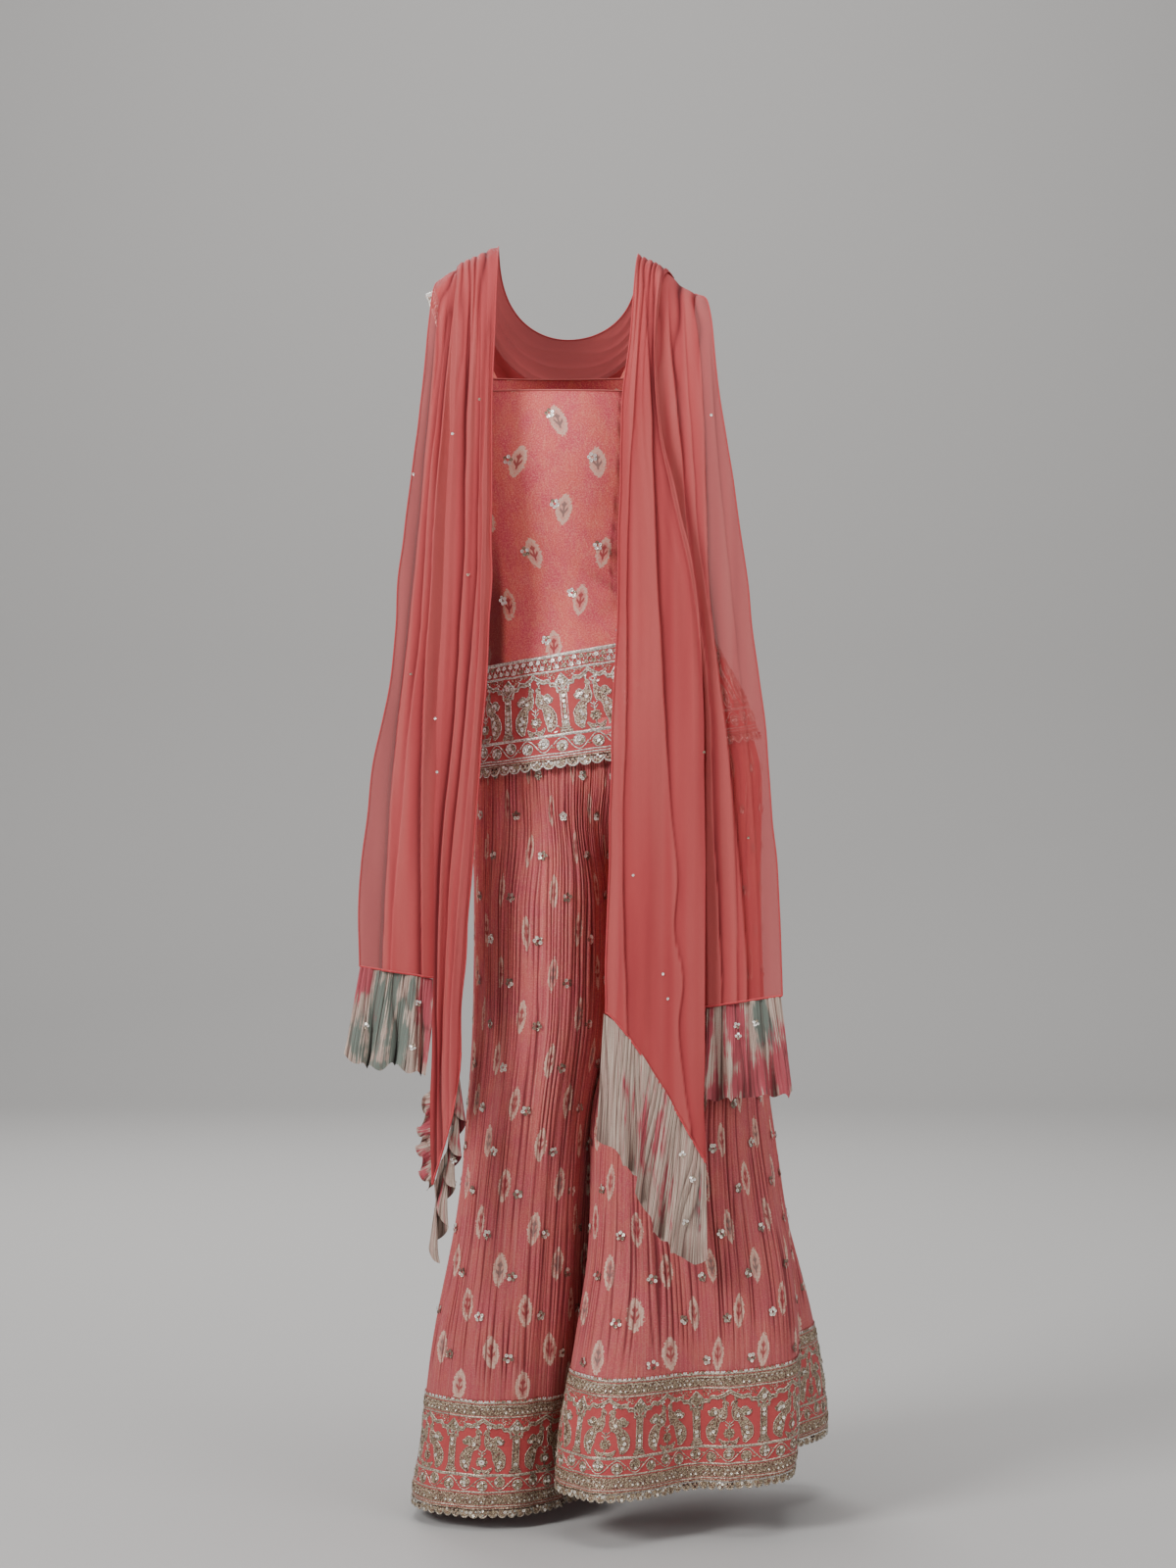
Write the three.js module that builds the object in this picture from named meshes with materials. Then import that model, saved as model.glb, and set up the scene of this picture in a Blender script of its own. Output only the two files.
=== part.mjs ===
// A three-piece palazzo suit as it is worn: a short sleeveless tunic (kurti), wide palazzo
// trousers and a long sheer scarf (dupatta) laid round the front of the neck, its two ends
// falling behind. Millimetres, +Z up. The wearer faces -Y and the wearer's left is +X.
// The origin is midway between the shoulder tops, where the wearer carries the suit.
import * as THREE from 'three';

// ---- driving dimensions ----
const SEAM = 0.3; // free gap between pieces that are sewn edge to edge
const LIFT = 0.3; // free gap under a band that lies on a panel
const KURTI_CLOTH = 1.5;
const PALAZZO_CLOTH = 1.4;
const SCARF_CLOTH = 1.0;
const BAND_CLOTH = 1.2; // zari border with its backing
const TRIM_HEIGHT = 11; // scalloped sequin edging under each border
const NORMAL_STEP = 1e-3; // share of a surface parameter used to measure its normal
const degrees = Math.PI / 180;

// ---- tunic ----
const NECK_BACK = -153; // height of the square back neckline
const NECK_FRONT = -128;
const UNDERARM = -200;
const STRAP_INNER = 0.56; // strap foot, as a share of the half width of the chest
const STRAP_OUTER = 0.82;
const CHEST_X = 9; // middle of the shoulders and chest
const STRAP_RIDGE = { inner: 129, outer: 159 }; // reach of the strap from CHEST_X on the shoulder
const KURTI_HEM = { z: -594, x: -62, slope: -0.136 }; // the raised right hip tilts the hem
const KURTI_BORDER = 122; // border height above its edging
const KURTI_COLUMNS = 16;
const KURTI_ROWS = 9;

// Sections of the tunic: middle, half width, and depth behind and before the middle.
const TUNIC = [
  { z: -110, x: 9, half: 124, back: 78, front: 84 },
  { z: -150, x: 9, half: 136, back: 84, front: 96 },
  { z: -200, x: 9, half: 150, back: 92, front: 116 },
  { z: -245, x: 7, half: 152, back: 95, front: 126 },
  { z: -320, x: 0, half: 140, back: 90, front: 106 },
  { z: -395, x: -16, half: 134, back: 88, front: 93 },
  { z: -460, x: -36, half: 147, back: 98, front: 98 },
  { z: -530, x: -52, half: 168, back: 114, front: 105 },
  { z: -600, x: -62, half: 181, back: 124, front: 110 },
  { z: -650, x: -66, half: 186, back: 128, front: 114 },
];

// ---- trousers ----
const WAISTBAND = { top: -424, bottom: -454, cloth: 2.5 };
const CROTCH = { top: -600, bottom: -770 }; // the seat seams part into the two legs
const LEG_BORDER = 133; // border height above its edging
const LEG_COLUMNS = 24; // crest and valley of twelve pleats on each panel
const LEG_ROWS = 9;
const PLEAT = { waist: 0.8, hem: 4 }; // half depth of the pressed pleats

// Sections of the seat, inside the tunic down to its hem.
const SEAT = [
  { z: -424, x: -26, half: 131, back: 84, front: 84 },
  { z: -460, x: -36, half: 138, back: 89, front: 90 },
  { z: -530, x: -52, half: 158, back: 105, front: 96 },
  { z: -600, x: -62, half: 171, back: 114, front: 100 },
  { z: -680, x: -62, half: 173, back: 117, front: 104 },
  { z: -780, x: -62, half: 174, back: 117, front: 106 },
];

// Each leg's sections: middle, half width, half depth, and how far the hem's folds have grown.
// Its folds are the crests and valleys of the hem, seen from above: direction and reach from
// the leg's middle. The hem is lowest at the angle `nearest` and rises on the far side.
const LEFT_LEG = {
  hem: -1497,
  rise: 6,
  nearest: 70,
  sections: [
    { z: -600, x: 24, y: 0, half: 85, depth: 112, folds: 0 },
    { z: -760, x: 24.5, y: 2, half: 84, depth: 114, folds: 0 },
    { z: -900, x: 27, y: 2, half: 83, depth: 114, folds: 0 },
    { z: -1012, x: 39, y: -2, half: 77, depth: 114, folds: 0.05 },
    { z: -1100, x: 47, y: -12, half: 78, depth: 116, folds: 0.16 },
    { z: -1200, x: 54, y: -28, half: 81, depth: 122, folds: 0.36 },
    { z: -1300, x: 61, y: -46, half: 91, depth: 130, folds: 0.64 },
    { z: -1400, x: 66, y: -64, half: 102, depth: 134, folds: 0.88 },
    { z: -1500, x: 70, y: -75, half: 110, depth: 136, folds: 1 },
  ],
  folds: [
    { angle: 0, reach: 112 },
    { angle: 34, reach: 134 },
    { angle: 58, reach: 134 },
    { angle: 82, reach: 131 },
    { angle: 115, reach: 108 },
    { angle: 150, reach: 92 },
    { angle: 180, reach: 101 },
    { angle: 205, reach: 127 },
    { angle: 235, reach: 152 },
    { angle: 263, reach: 160 },
    { angle: 290, reach: 148 },
    { angle: 325, reach: 121 },
  ],
};
const RIGHT_LEG = {
  hem: -1457,
  rise: 22,
  nearest: 50,
  sections: [
    { z: -600, x: -149, y: 0, half: 85, depth: 112, folds: 0 },
    { z: -760, x: -149.5, y: 2, half: 84, depth: 114, folds: 0 },
    { z: -900, x: -152, y: 3, half: 86, depth: 116, folds: 0 },
    { z: -1012, x: -145, y: 5, half: 97, depth: 118, folds: 0.06 },
    { z: -1100, x: -149, y: 6, half: 98, depth: 122, folds: 0.22 },
    { z: -1200, x: -159, y: 4, half: 105, depth: 128, folds: 0.44 },
    { z: -1300, x: -164, y: -2, half: 114, depth: 134, folds: 0.7 },
    { z: -1400, x: -164, y: -10, half: 124, depth: 138, folds: 0.92 },
    { z: -1500, x: -165, y: -15, half: 126, depth: 140, folds: 1 },
  ],
  folds: [
    { angle: 0, reach: 130 },
    { angle: 11, reach: 150 },
    { angle: 25, reach: 194 },
    { angle: 42, reach: 206 },
    { angle: 55, reach: 198 },
    { angle: 76, reach: 103 },
    { angle: 105, reach: 114 },
    { angle: 137, reach: 132 },
    { angle: 170, reach: 103 },
    { angle: 200, reach: 112 },
    { angle: 219, reach: 210 },
    { angle: 236, reach: 218 },
    { angle: 262, reach: 188 },
    { angle: 287, reach: 154 },
    { angle: 318, reach: 124 },
    { angle: 341, reach: 122 },
  ],
};

// ---- scarf ----
const SHOULDER = { z: 22, from: 71, slope: 0.46 }; // height of the scarf over each shoulder
const SCARF_ROWS = 10;
const SCARF_COLUMNS = { far: 8, middle: 4, near: 10 };
const SCARF_WIDTH = SCARF_COLUMNS.far + SCARF_COLUMNS.middle + SCARF_COLUMNS.near;
const FAR_END = SCARF_COLUMNS.far / SCARF_WIDTH; // share of the width in the far layer
const NEAR_START = 1 - SCARF_COLUMNS.near / SCARF_WIDTH;
const SCARF_WAVE = 5; // height of the gathers
const NECK_DRAPE = { rows: 12, innerDrop: 78, outerDrop: 250, innerReach: 84, outerReach: 142 };

// The fall's path over the shoulder and down the back: level 0 is the shoulder line.
const FALL_PATH = [
  { level: 0, y: 0, z: 0, turn: 0 },
  { level: -25, y: 27, z: -5, turn: 0.25 },
  { level: -55, y: 54, z: -24, turn: 0.5 },
  { level: -90, y: 78, z: -60, turn: 0.75 },
  { level: -130, y: 97, z: -112, turn: 0.95 },
  { level: -200, y: 114, z: -196, turn: 1 },
  { level: -300, y: 122, z: -300, turn: 1 },
  { level: -450, y: 130, z: -450, turn: 1 },
  { level: -600, y: 140, z: -600, turn: 1 },
  { level: -850, y: 147, z: -850, turn: 1 },
  { level: -1250, y: 151, z: -1250, turn: 1 },
];

// Each fall is folded like a Z: a far layer from its outer edge in to `far`, a hidden middle
// layer back out to `near`, and a near layer in to its inner edge.
const LEFT_FALL = {
  edges: [
    { level: 0, outer: 155, near: 128, far: 104, inner: 79, stack: 12 },
    { level: -55, outer: 158, near: 130, far: 103, inner: 80, stack: 14 },
    { level: -130, outer: 163, near: 132, far: 103, inner: 82, stack: 18 },
    { level: -200, outer: 171, near: 134, far: 104, inner: 84, stack: 20 },
    { level: -300, outer: 185, near: 138, far: 105, inner: 84, stack: 22 },
    { level: -420, outer: 196, near: 142, far: 108, inner: 87, stack: 24 },
    { level: -510, outer: 205, near: 146, far: 112, inner: 92, stack: 24 },
    { level: -600, outer: 222, near: 148, far: 118, inner: 101, stack: 24 },
    { level: -735, outer: 237, near: 149, far: 126, inner: 109, stack: 24 },
    { level: -850, outer: 238, near: 148, far: 133, inner: 121, stack: 24 },
    { level: -985, outer: 238, near: 149, far: 139, inner: 126, stack: 24 },
    { level: -1085, outer: 238, near: 150, far: 141, inner: 131, stack: 24 },
  ],
  bottom: { outer: -833, far: -849, near: -950, inner: -1078, curve: 1 },
};
const RIGHT_FALL = {
  edges: [
    { level: 0, outer: -165, near: -140, far: -116, inner: -92, stack: 12 },
    { level: -55, outer: -170, near: -142, far: -115, inner: -91, stack: 14 },
    { level: -130, outer: -177, near: -146, far: -112, inner: -84, stack: 18 },
    { level: -200, outer: -187, near: -150, far: -104, inner: -66, stack: 20 },
    { level: -300, outer: -200, near: -155, far: -101, inner: -64, stack: 22 },
    { level: -440, outer: -219, near: -160, far: -98, inner: -63, stack: 24 },
    { level: -576, outer: -235, near: -162, far: -95, inner: -54, stack: 24 },
    { level: -735, outer: -246, near: -162, far: -92, inner: -51, stack: 24 },
    { level: -850, outer: -251, near: -162, far: -90, inner: -47, stack: 24 },
    { level: -1060, outer: -251, near: -163, far: -90, inner: -42, stack: 24 },
  ],
  bottom: { outer: -867, far: -890, near: -1060, inner: -885, curve: 1.3 },
};

// Each ruffle hangs from its seam to its free edge, both given by their two ends as [x, z], at
// a depth y. Its pressed waves stand half a `wave` high, one to every two columns.
const RUFFLES = {
  left_wide_ruffle: {
    columns: 16, wave: 4, y: 148,
    seam: [[237, -833.5], [148, -849]], edge: [[251, -946], [158, -961]],
  },
  right_wide_ruffle: {
    columns: 16, wave: 4, y: 148,
    seam: [[-251, -867.6], [-165, -882]], edge: [[-263, -985], [-160, -991]],
  },
  left_tail_ruffle: {
    columns: 14, wave: 7, y: 176,
    seam: [[151, -951], [131, -1079.5]], edge: [[167, -972], [150, -1181]],
  },
  right_tail_ruffle: {
    columns: 20, wave: 5, y: 175,
    seam: [[-163, -1061], [-43, -886.5]], edge: [[-164, -1180], [-38, -1036]],
  },
};
const RUFFLE_ROWS = 2;

// ---- reading the tables ----
const clamp = (value) => Math.min(1, Math.max(0, value));
const lerp = (a, b, t) => a + (b - a) * t;
const ease = (t) => clamp(t) ** 2 * (3 - 2 * clamp(t));

// The value of a named column at a place along a table, on a smooth curve through its rows.
function column(rows, key, name, place) {
  const down = rows[0][key] > rows[1][key] ? -1 : 1;
  let i = 0;
  while (i < rows.length - 2 && (place - rows[i + 1][key]) * down > 0) i += 1;
  const [a, b] = [rows[i], rows[i + 1]];
  const [before, after] = [rows[Math.max(i - 1, 0)], rows[Math.min(i + 2, rows.length - 1)]];
  const span = b[key] - a[key];
  const t = clamp((place - a[key]) / span);
  const slopeA = ((b[name] - before[name]) / (b[key] - before[key])) * span;
  const slopeB = ((after[name] - a[name]) / (after[key] - a[key])) * span;
  const cubic = t * t * (3 - 2 * t);
  const bend = t * (1 - t) * ((1 - t) * slopeA - t * slopeB);
  return lerp(a[name], b[name], cubic) + bend;
}

// The reach of a leg's hem in any direction: its table goes round and round.
function foldReach(folds, angle) {
  const turned = ((angle / degrees) % 360 + 360) % 360;
  const last = folds[folds.length - 1];
  const round = [
    { ...last, angle: last.angle - 360 },
    ...folds,
    { ...folds[0], angle: folds[0].angle + 360 },
    { ...folds[1], angle: folds[1].angle + 360 },
  ];
  return column(round, 'angle', 'reach', turned);
}

// ---- surfaces: each takes shares of its width and height and gives a point ----
function ovalPoint(table, angle, z) {
  const half = column(table, 'z', 'half', z);
  const depth = column(table, 'z', Math.sin(angle) > 0 ? 'back' : 'front', z);
  const full = 1 + 0.04 * Math.sin(2 * angle) ** 2;
  const x = column(table, 'z', 'x', z) + half * full * Math.cos(angle);
  return new THREE.Vector3(x, depth * full * Math.sin(angle), z);
}

const kurtiHem = (x) => KURTI_HEM.z + KURTI_HEM.slope * (x - KURTI_HEM.x);

// The top edge of a tunic panel: the square neckline, then the armhole down to the underarm.
function tunicTop(neck, angle) {
  const past = (Math.abs(Math.cos(angle)) - STRAP_OUTER) / (1 - STRAP_OUTER);
  return lerp(neck, UNDERARM, ease(past));
}

// A point of the tunic, `above` its hem edge.
function kurtiPoint(angle, above) {
  const middle = ovalPoint(TUNIC, angle, KURTI_HEM.z);
  return ovalPoint(TUNIC, angle, kurtiHem(middle.x) + above);
}

function legPoint(leg, angle, z) {
  const at = (name) => column(leg.sections, 'z', name, z);
  const oval = 1 / Math.hypot(Math.cos(angle) / at('half'), Math.sin(angle) / at('depth'));
  const reach = lerp(oval, foldReach(leg.folds, angle), at('folds'));
  return new THREE.Vector3(at('x') + reach * Math.cos(angle), at('y') + reach * Math.sin(angle), z);
}

// A point of a trouser leg: round the seat above the crotch, round the leg below it.
// `turn` runs over half a turn for each panel, from -180 to 180 degrees in all.
function trouserPoint(leg, turn, z) {
  const side = leg === LEFT_LEG ? 1 : -1;
  const seatTurn = side > 0 ? turn / 2 : Math.PI - turn / 2;
  const legTurn = side > 0 ? turn : Math.PI - turn;
  const share = ease((CROTCH.top - z) / (CROTCH.top - CROTCH.bottom));
  const point = ovalPoint(SEAT, seatTurn, z).lerp(legPoint(leg, legTurn, z), share);
  const grown = clamp((WAISTBAND.bottom - z) / (WAISTBAND.bottom - leg.hem));
  const clearOfSeam = clamp(3 * Math.abs(Math.sin(turn)));
  const pleat = lerp(PLEAT.waist, PLEAT.hem, grown) * clearOfSeam * Math.cos(turn * LEG_COLUMNS);
  const outward = new THREE.Vector3(Math.cos(seatTurn), Math.sin(seatTurn), 0)
    .lerp(new THREE.Vector3(Math.cos(legTurn), Math.sin(legTurn), 0), share).normalize();
  point.addScaledVector(outward, pleat);
  point.x += (side * SEAM) / 2;
  return point;
}

function legHem(leg, turn) {
  const legTurn = leg === LEFT_LEG ? turn : Math.PI - turn;
  return leg.hem + (leg.rise * (1 - Math.cos(legTurn - leg.nearest * degrees))) / 2;
}

const shoulder = (x) => SHOULDER.z - SHOULDER.slope * (Math.abs(x - CHEST_X) - SHOULDER.from);

// Where a share of the scarf's width lies in its Z fold: place between the edges, and height.
function foldedPlace(fall, level, u) {
  const edge = (name) => column(fall.edges, 'level', name, level);
  const wave = (share, count) => SCARF_WAVE * Math.sin(Math.PI * clamp(share)) *
    Math.sin(Math.PI * count * share) ** 2;
  if (u < FAR_END) {
    const share = u / FAR_END;
    return { x: lerp(edge('outer'), edge('far'), share), height: wave(share, SCARF_COLUMNS.far / 2) };
  }
  if (u < NEAR_START) {
    const share = (u - FAR_END) / (NEAR_START - FAR_END);
    return { x: lerp(edge('far'), edge('near'), share), height: edge('stack') * share };
  }
  const share = (u - NEAR_START) / (1 - NEAR_START);
  const height = edge('stack') + wave(share, SCARF_COLUMNS.near / 2);
  return { x: lerp(edge('near'), edge('inner'), share), height };
}

// How low each share of the scarf's width hangs.
function fallBottom(fall, u) {
  const { outer, far, near, inner, curve } = fall.bottom;
  if (u < FAR_END) return lerp(outer, far, u / FAR_END);
  if (u < NEAR_START) return lerp(far, near, (u - FAR_END) / (NEAR_START - FAR_END));
  return lerp(inner, near, clamp((1 - u) / (1 - NEAR_START)) ** curve);
}

function fallPoint(fall, u, v) {
  const level = fallBottom(fall, u) * Math.max(v, 0);
  const place = foldedPlace(fall, level, u);
  const turn = (column(FALL_PATH, 'level', 'turn', level) * Math.PI) / 2;
  const y = column(FALL_PATH, 'level', 'y', level) + place.height * Math.sin(turn);
  const rest = shoulder(place.x) * (1 - ease(-level / 260));
  const z = column(FALL_PATH, 'level', 'z', level) + rest + place.height * Math.cos(turn);
  return new THREE.Vector3(place.x, y + SEAM + Math.min(v, 0), z);
}

// The scarf across the front of the neck, from the left shoulder to the right one.
function neckDrapePoint(u, v) {
  const left = foldedPlace(LEFT_FALL, 0, u);
  const right = foldedPlace(RIGHT_FALL, 0, u);
  const [first, last] = [LEFT_FALL.edges[0], RIGHT_FALL.edges[0]];
  const width = lerp(
    (first.outer - left.x) / (first.outer - first.inner),
    (last.outer - right.x) / (last.outer - last.inner), v);
  const along = Math.PI * v;
  const dip = Math.max(Math.sin(along), 0);
  const x = (left.x + right.x) / 2 + ((left.x - right.x) / 2) * Math.cos(along);
  const drop = lerp(NECK_DRAPE.outerDrop, NECK_DRAPE.innerDrop, width);
  const reach = lerp(NECK_DRAPE.outerReach, NECK_DRAPE.innerReach, width);
  const height = lerp(left.height, right.height, v);
  const ridge = shoulder(v < 0.5 ? left.x : right.x);
  const forward = Math.sqrt(2 * dip - dip * dip);
  const turn = (forward * Math.PI) / 2;
  const y = -reach * forward - height * Math.sin(turn);
  const z = lerp(ridge, -drop, dip ** 0.9) + height * Math.cos(turn);
  return new THREE.Vector3(x, y - SEAM, z);
}

function rufflePoint(ruffle, u, v) {
  const [top, bottom] = [ruffle.seam, ruffle.edge].map(([from, to]) =>
    new THREE.Vector2(...from).lerp(new THREE.Vector2(...to), u));
  const { x, y: z } = top.lerp(bottom, v);
  const wave = ruffle.wave * lerp(0.3, 1, v) * Math.cos(Math.PI * ruffle.columns * u);
  return new THREE.Vector3(x, ruffle.y + wave, z - SEAM * (1 - v));
}

// One shoulder strap, from the back neckline over the shoulder to the front one.
function strapPoint(side, u, v) {
  const share = lerp(STRAP_INNER, STRAP_OUTER - 0.01, u);
  const angle = side > 0 ? Math.acos(share) : Math.PI - Math.acos(share);
  const foot = v < 0.5 ? ovalPoint(TUNIC, angle, NECK_BACK) : ovalPoint(TUNIC, -angle, NECK_FRONT);
  const x = CHEST_X + side * lerp(STRAP_RIDGE.inner, STRAP_RIDGE.outer, u);
  const top = shoulder(x) - 8;
  const rise = Math.sin(Math.PI * v);
  const z = lerp(foot.z + SEAM, top, rise);
  return new THREE.Vector3(lerp(foot.x, x, rise), foot.y * Math.abs(Math.cos(Math.PI * v)), z);
}

// ---- walls ----
// A lattice of points and outward normals over the listed shares of a surface.
function lattice(surface, us, vs, sense) {
  const at = (u, v) => {
    const across = surface(u + NORMAL_STEP, v).sub(surface(u - NORMAL_STEP, v));
    const down = surface(u, v + NORMAL_STEP).sub(surface(u, v - NORMAL_STEP));
    return { point: surface(u, v), normal: across.cross(down).normalize().multiplyScalar(sense) };
  };
  return us.map((u) => vs.map((v) => at(u, v)));
}

// A closed wall between two offsets from a lattice. A ring joins its last column to its first.
function wall(cells, from, to, ring = false) {
  const columns = cells.length;
  const rows = cells[0].length;
  const positions = [];
  for (const offset of [to, from]) {
    for (const line of cells) {
      for (const { point, normal } of line) {
        positions.push(...point.clone().addScaledVector(normal, offset).toArray());
      }
    }
  }
  const index = [];
  const outer = (i, j) => (i % columns) * rows + j;
  const inner = (i, j) => columns * rows + outer(i, j);
  const quad = (a, b, c, d) => index.push(a, b, c, a, c, d);
  const spans = ring ? columns : columns - 1;
  for (let i = 0; i < spans; i += 1) {
    for (let j = 0; j < rows - 1; j += 1) {
      quad(outer(i, j), outer(i + 1, j), outer(i + 1, j + 1), outer(i, j + 1));
      quad(inner(i, j), inner(i, j + 1), inner(i + 1, j + 1), inner(i + 1, j));
    }
    quad(outer(i, 0), inner(i, 0), inner(i + 1, 0), outer(i + 1, 0));
    quad(outer(i, rows - 1), outer(i + 1, rows - 1), inner(i + 1, rows - 1), inner(i, rows - 1));
  }
  if (!ring) {
    for (let j = 0; j < rows - 1; j += 1) {
      quad(outer(0, j), outer(0, j + 1), inner(0, j + 1), inner(0, j));
      quad(outer(spans, j), inner(spans, j), inner(spans, j + 1), outer(spans, j + 1));
    }
  }
  return closedGeometry(positions, index);
}

// Turns the triangles over where the wall would face inward.
function closedGeometry(positions, index) {
  const corner = (k) => new THREE.Vector3().fromArray(positions, 3 * index[k]);
  let volume = 0;
  for (let k = 0; k < index.length; k += 3) {
    volume += corner(k).dot(corner(k + 1).cross(corner(k + 2)));
  }
  const geometry = new THREE.BufferGeometry();
  geometry.setAttribute('position', new THREE.Float32BufferAttribute(positions, 3));
  geometry.setIndex(volume < 0 ? index.reverse() : index);
  geometry.computeVertexNormals();
  return geometry;
}

const steps = (count, from = 0, to = 1) =>
  Array.from({ length: count + 1 }, (_, i) => lerp(from, to, i / count));

const suit = new THREE.Group();
function add(name, geometry, color, roughness) {
  const material = new THREE.MeshStandardMaterial({ color, roughness, metalness: 0 });
  const mesh = new THREE.Mesh(geometry, material);
  mesh.name = name;
  suit.add(mesh);
}
const CORAL_WEAVE = 0xcd6e6e;
const CORAL_CHIFFON = 0xc45c5c;
const ZARI = 0xbeaf96;
const PRINTED_CREPE = 0xb9a59c;

// ---- tunic pieces ----
function addTunicHalf(name, first, last) {
  const shares = steps(KURTI_COLUMNS, 0.0007, 0.9993);
  const angle = (u) => lerp(first, last, u);
  const edge = TRIM_HEIGHT + KURTI_BORDER;
  const neck = first < last ? NECK_BACK : NECK_FRONT;
  const panel = (u, v) => {
    const turn = angle(u);
    if (v > 1) return kurtiPoint(turn, lerp(edge, 0, v - 1));
    const low = kurtiPoint(turn, edge).z;
    return ovalPoint(TUNIC, turn, lerp(tunicTop(neck, turn), low, v));
  };
  const sense = first < last ? -1 : 1;
  const hem = 2 - TRIM_HEIGHT / edge;
  const gap = SEAM / edge;
  const cells = lattice(panel, shares, [...steps(KURTI_ROWS), hem], sense);
  add(`kurti_${name}`, wall(cells, -KURTI_CLOTH, 0), CORAL_WEAVE, 0.75);
  const border = lattice(panel, shares, [1, hem], sense);
  add(`kurti_border_${name}`, wall(border, LIFT, LIFT + BAND_CLOTH), ZARI, 0.45);
  const trim = lattice(panel, shares, [hem + gap, 2], sense);
  add(`kurti_trim_${name}`, wall(trim, -KURTI_CLOTH, 0), ZARI, 0.4);
}
addTunicHalf('back', 0, Math.PI);
addTunicHalf('front', 0, -Math.PI);

for (const [name, side] of [['strap_left', 1], ['strap_right', -1]]) {
  const cells = lattice((u, v) => strapPoint(side, u, v), steps(2), steps(10), -side);
  add(name, wall(cells, -KURTI_CLOTH, 0), CORAL_WEAVE, 0.75);
}

// ---- trouser pieces ----
function addWaistband() {
  const height = WAISTBAND.top - WAISTBAND.bottom - SEAM;
  const surface = (u, v) => ovalPoint(SEAT, 2 * Math.PI * u, WAISTBAND.top - height * v);
  const cells = lattice(surface, steps(24).slice(0, -1), steps(1), -1);
  add('palazzo_waistband', wall(cells, -WAISTBAND.cloth, 0, true), CORAL_WEAVE, 0.75);
}
addWaistband();

function addLeg(side, leg) {
  const edge = TRIM_HEIGHT + LEG_BORDER;
  const surface = (turn, v) => {
    const hem = legHem(leg, turn);
    const z = v > 1 ? hem + edge * (2 - v) : lerp(WAISTBAND.bottom, hem + edge, v);
    return trouserPoint(leg, turn, z);
  };
  const sense = side === 'left' ? -1 : 1;
  const hem = 2 - TRIM_HEIGHT / edge;
  const rows = [...steps(LEG_ROWS), hem];
  const close = (0.5 * SEAM) / 100;
  for (const [name, first] of [['back', 0], ['front', -Math.PI]]) {
    const turns = steps(LEG_COLUMNS, first, first + Math.PI);
    turns[0] += close;
    turns[LEG_COLUMNS] -= close;
    const cells = lattice(surface, turns, rows, sense);
    add(`palazzo_${side}_${name}`, wall(cells, -PALAZZO_CLOTH, 0), CORAL_WEAVE, 0.8);
  }
  const round = steps(2 * LEG_COLUMNS, -Math.PI, Math.PI).slice(0, -1);
  const border = lattice(surface, round, [1, hem], sense);
  add(`palazzo_border_${side}`, wall(border, LIFT, LIFT + BAND_CLOTH, true), ZARI, 0.45);
  const trim = lattice(surface, round, [hem + SEAM / edge, 2], sense);
  add(`palazzo_trim_${side}`, wall(trim, -PALAZZO_CLOTH, 0, true), ZARI, 0.4);
}
addLeg('left', LEFT_LEG);
addLeg('right', RIGHT_LEG);

// ---- scarf pieces ----
const scarfShares = steps(SCARF_WIDTH);
const drapeRows = steps(NECK_DRAPE.rows).map((share) => (1 - Math.cos(Math.PI * share)) / 2);
const drape = lattice(neckDrapePoint, scarfShares, drapeRows, 1);
add('dupatta_neck', wall(drape, -SCARF_CLOTH, 0), CORAL_CHIFFON, 0.6);

for (const [name, fall] of [['left', LEFT_FALL], ['right', RIGHT_FALL]]) {
  const shares = steps(SCARF_ROWS).map((share) => share ** 1.35);
  const sense = name === 'left' ? -1 : 1;
  const cells = lattice((u, v) => fallPoint(fall, u, v), scarfShares, shares, sense);
  add(`dupatta_fall_${name}`, wall(cells, -SCARF_CLOTH, 0), CORAL_CHIFFON, 0.6);
}

for (const [name, ruffle] of Object.entries(RUFFLES)) {
  const surface = (u, v) => rufflePoint(ruffle, u, v);
  const cells = lattice(surface, steps(ruffle.columns), steps(RUFFLE_ROWS), 1);
  add(name, wall(cells, -SCARF_CLOTH, 0), PRINTED_CREPE, 0.8);
}

export default suit;
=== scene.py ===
"""A palazzo suit in its worn form: printed and embroidered tunic, crinkled trousers, sheer scarf.

Shapes are worked out in millimetres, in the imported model's frame, and made into meshes in
metres. The wearer faces -Y; the camera looks at the back.
"""

import math

import bpy
import numpy as np
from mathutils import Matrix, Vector


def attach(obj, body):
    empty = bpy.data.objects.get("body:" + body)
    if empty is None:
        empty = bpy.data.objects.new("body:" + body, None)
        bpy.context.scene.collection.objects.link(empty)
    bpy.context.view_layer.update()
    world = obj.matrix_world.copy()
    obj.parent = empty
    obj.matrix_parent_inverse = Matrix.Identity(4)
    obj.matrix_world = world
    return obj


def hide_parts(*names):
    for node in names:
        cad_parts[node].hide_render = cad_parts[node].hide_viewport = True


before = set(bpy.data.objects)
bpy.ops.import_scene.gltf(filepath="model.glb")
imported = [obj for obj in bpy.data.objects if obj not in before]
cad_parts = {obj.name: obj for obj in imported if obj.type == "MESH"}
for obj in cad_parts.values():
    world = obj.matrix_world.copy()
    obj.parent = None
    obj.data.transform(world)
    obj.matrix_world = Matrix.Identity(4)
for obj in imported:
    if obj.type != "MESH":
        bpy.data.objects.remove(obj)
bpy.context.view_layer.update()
MM = 0.001
CAMERA = (-0.027, 4.0, -0.577)


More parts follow.
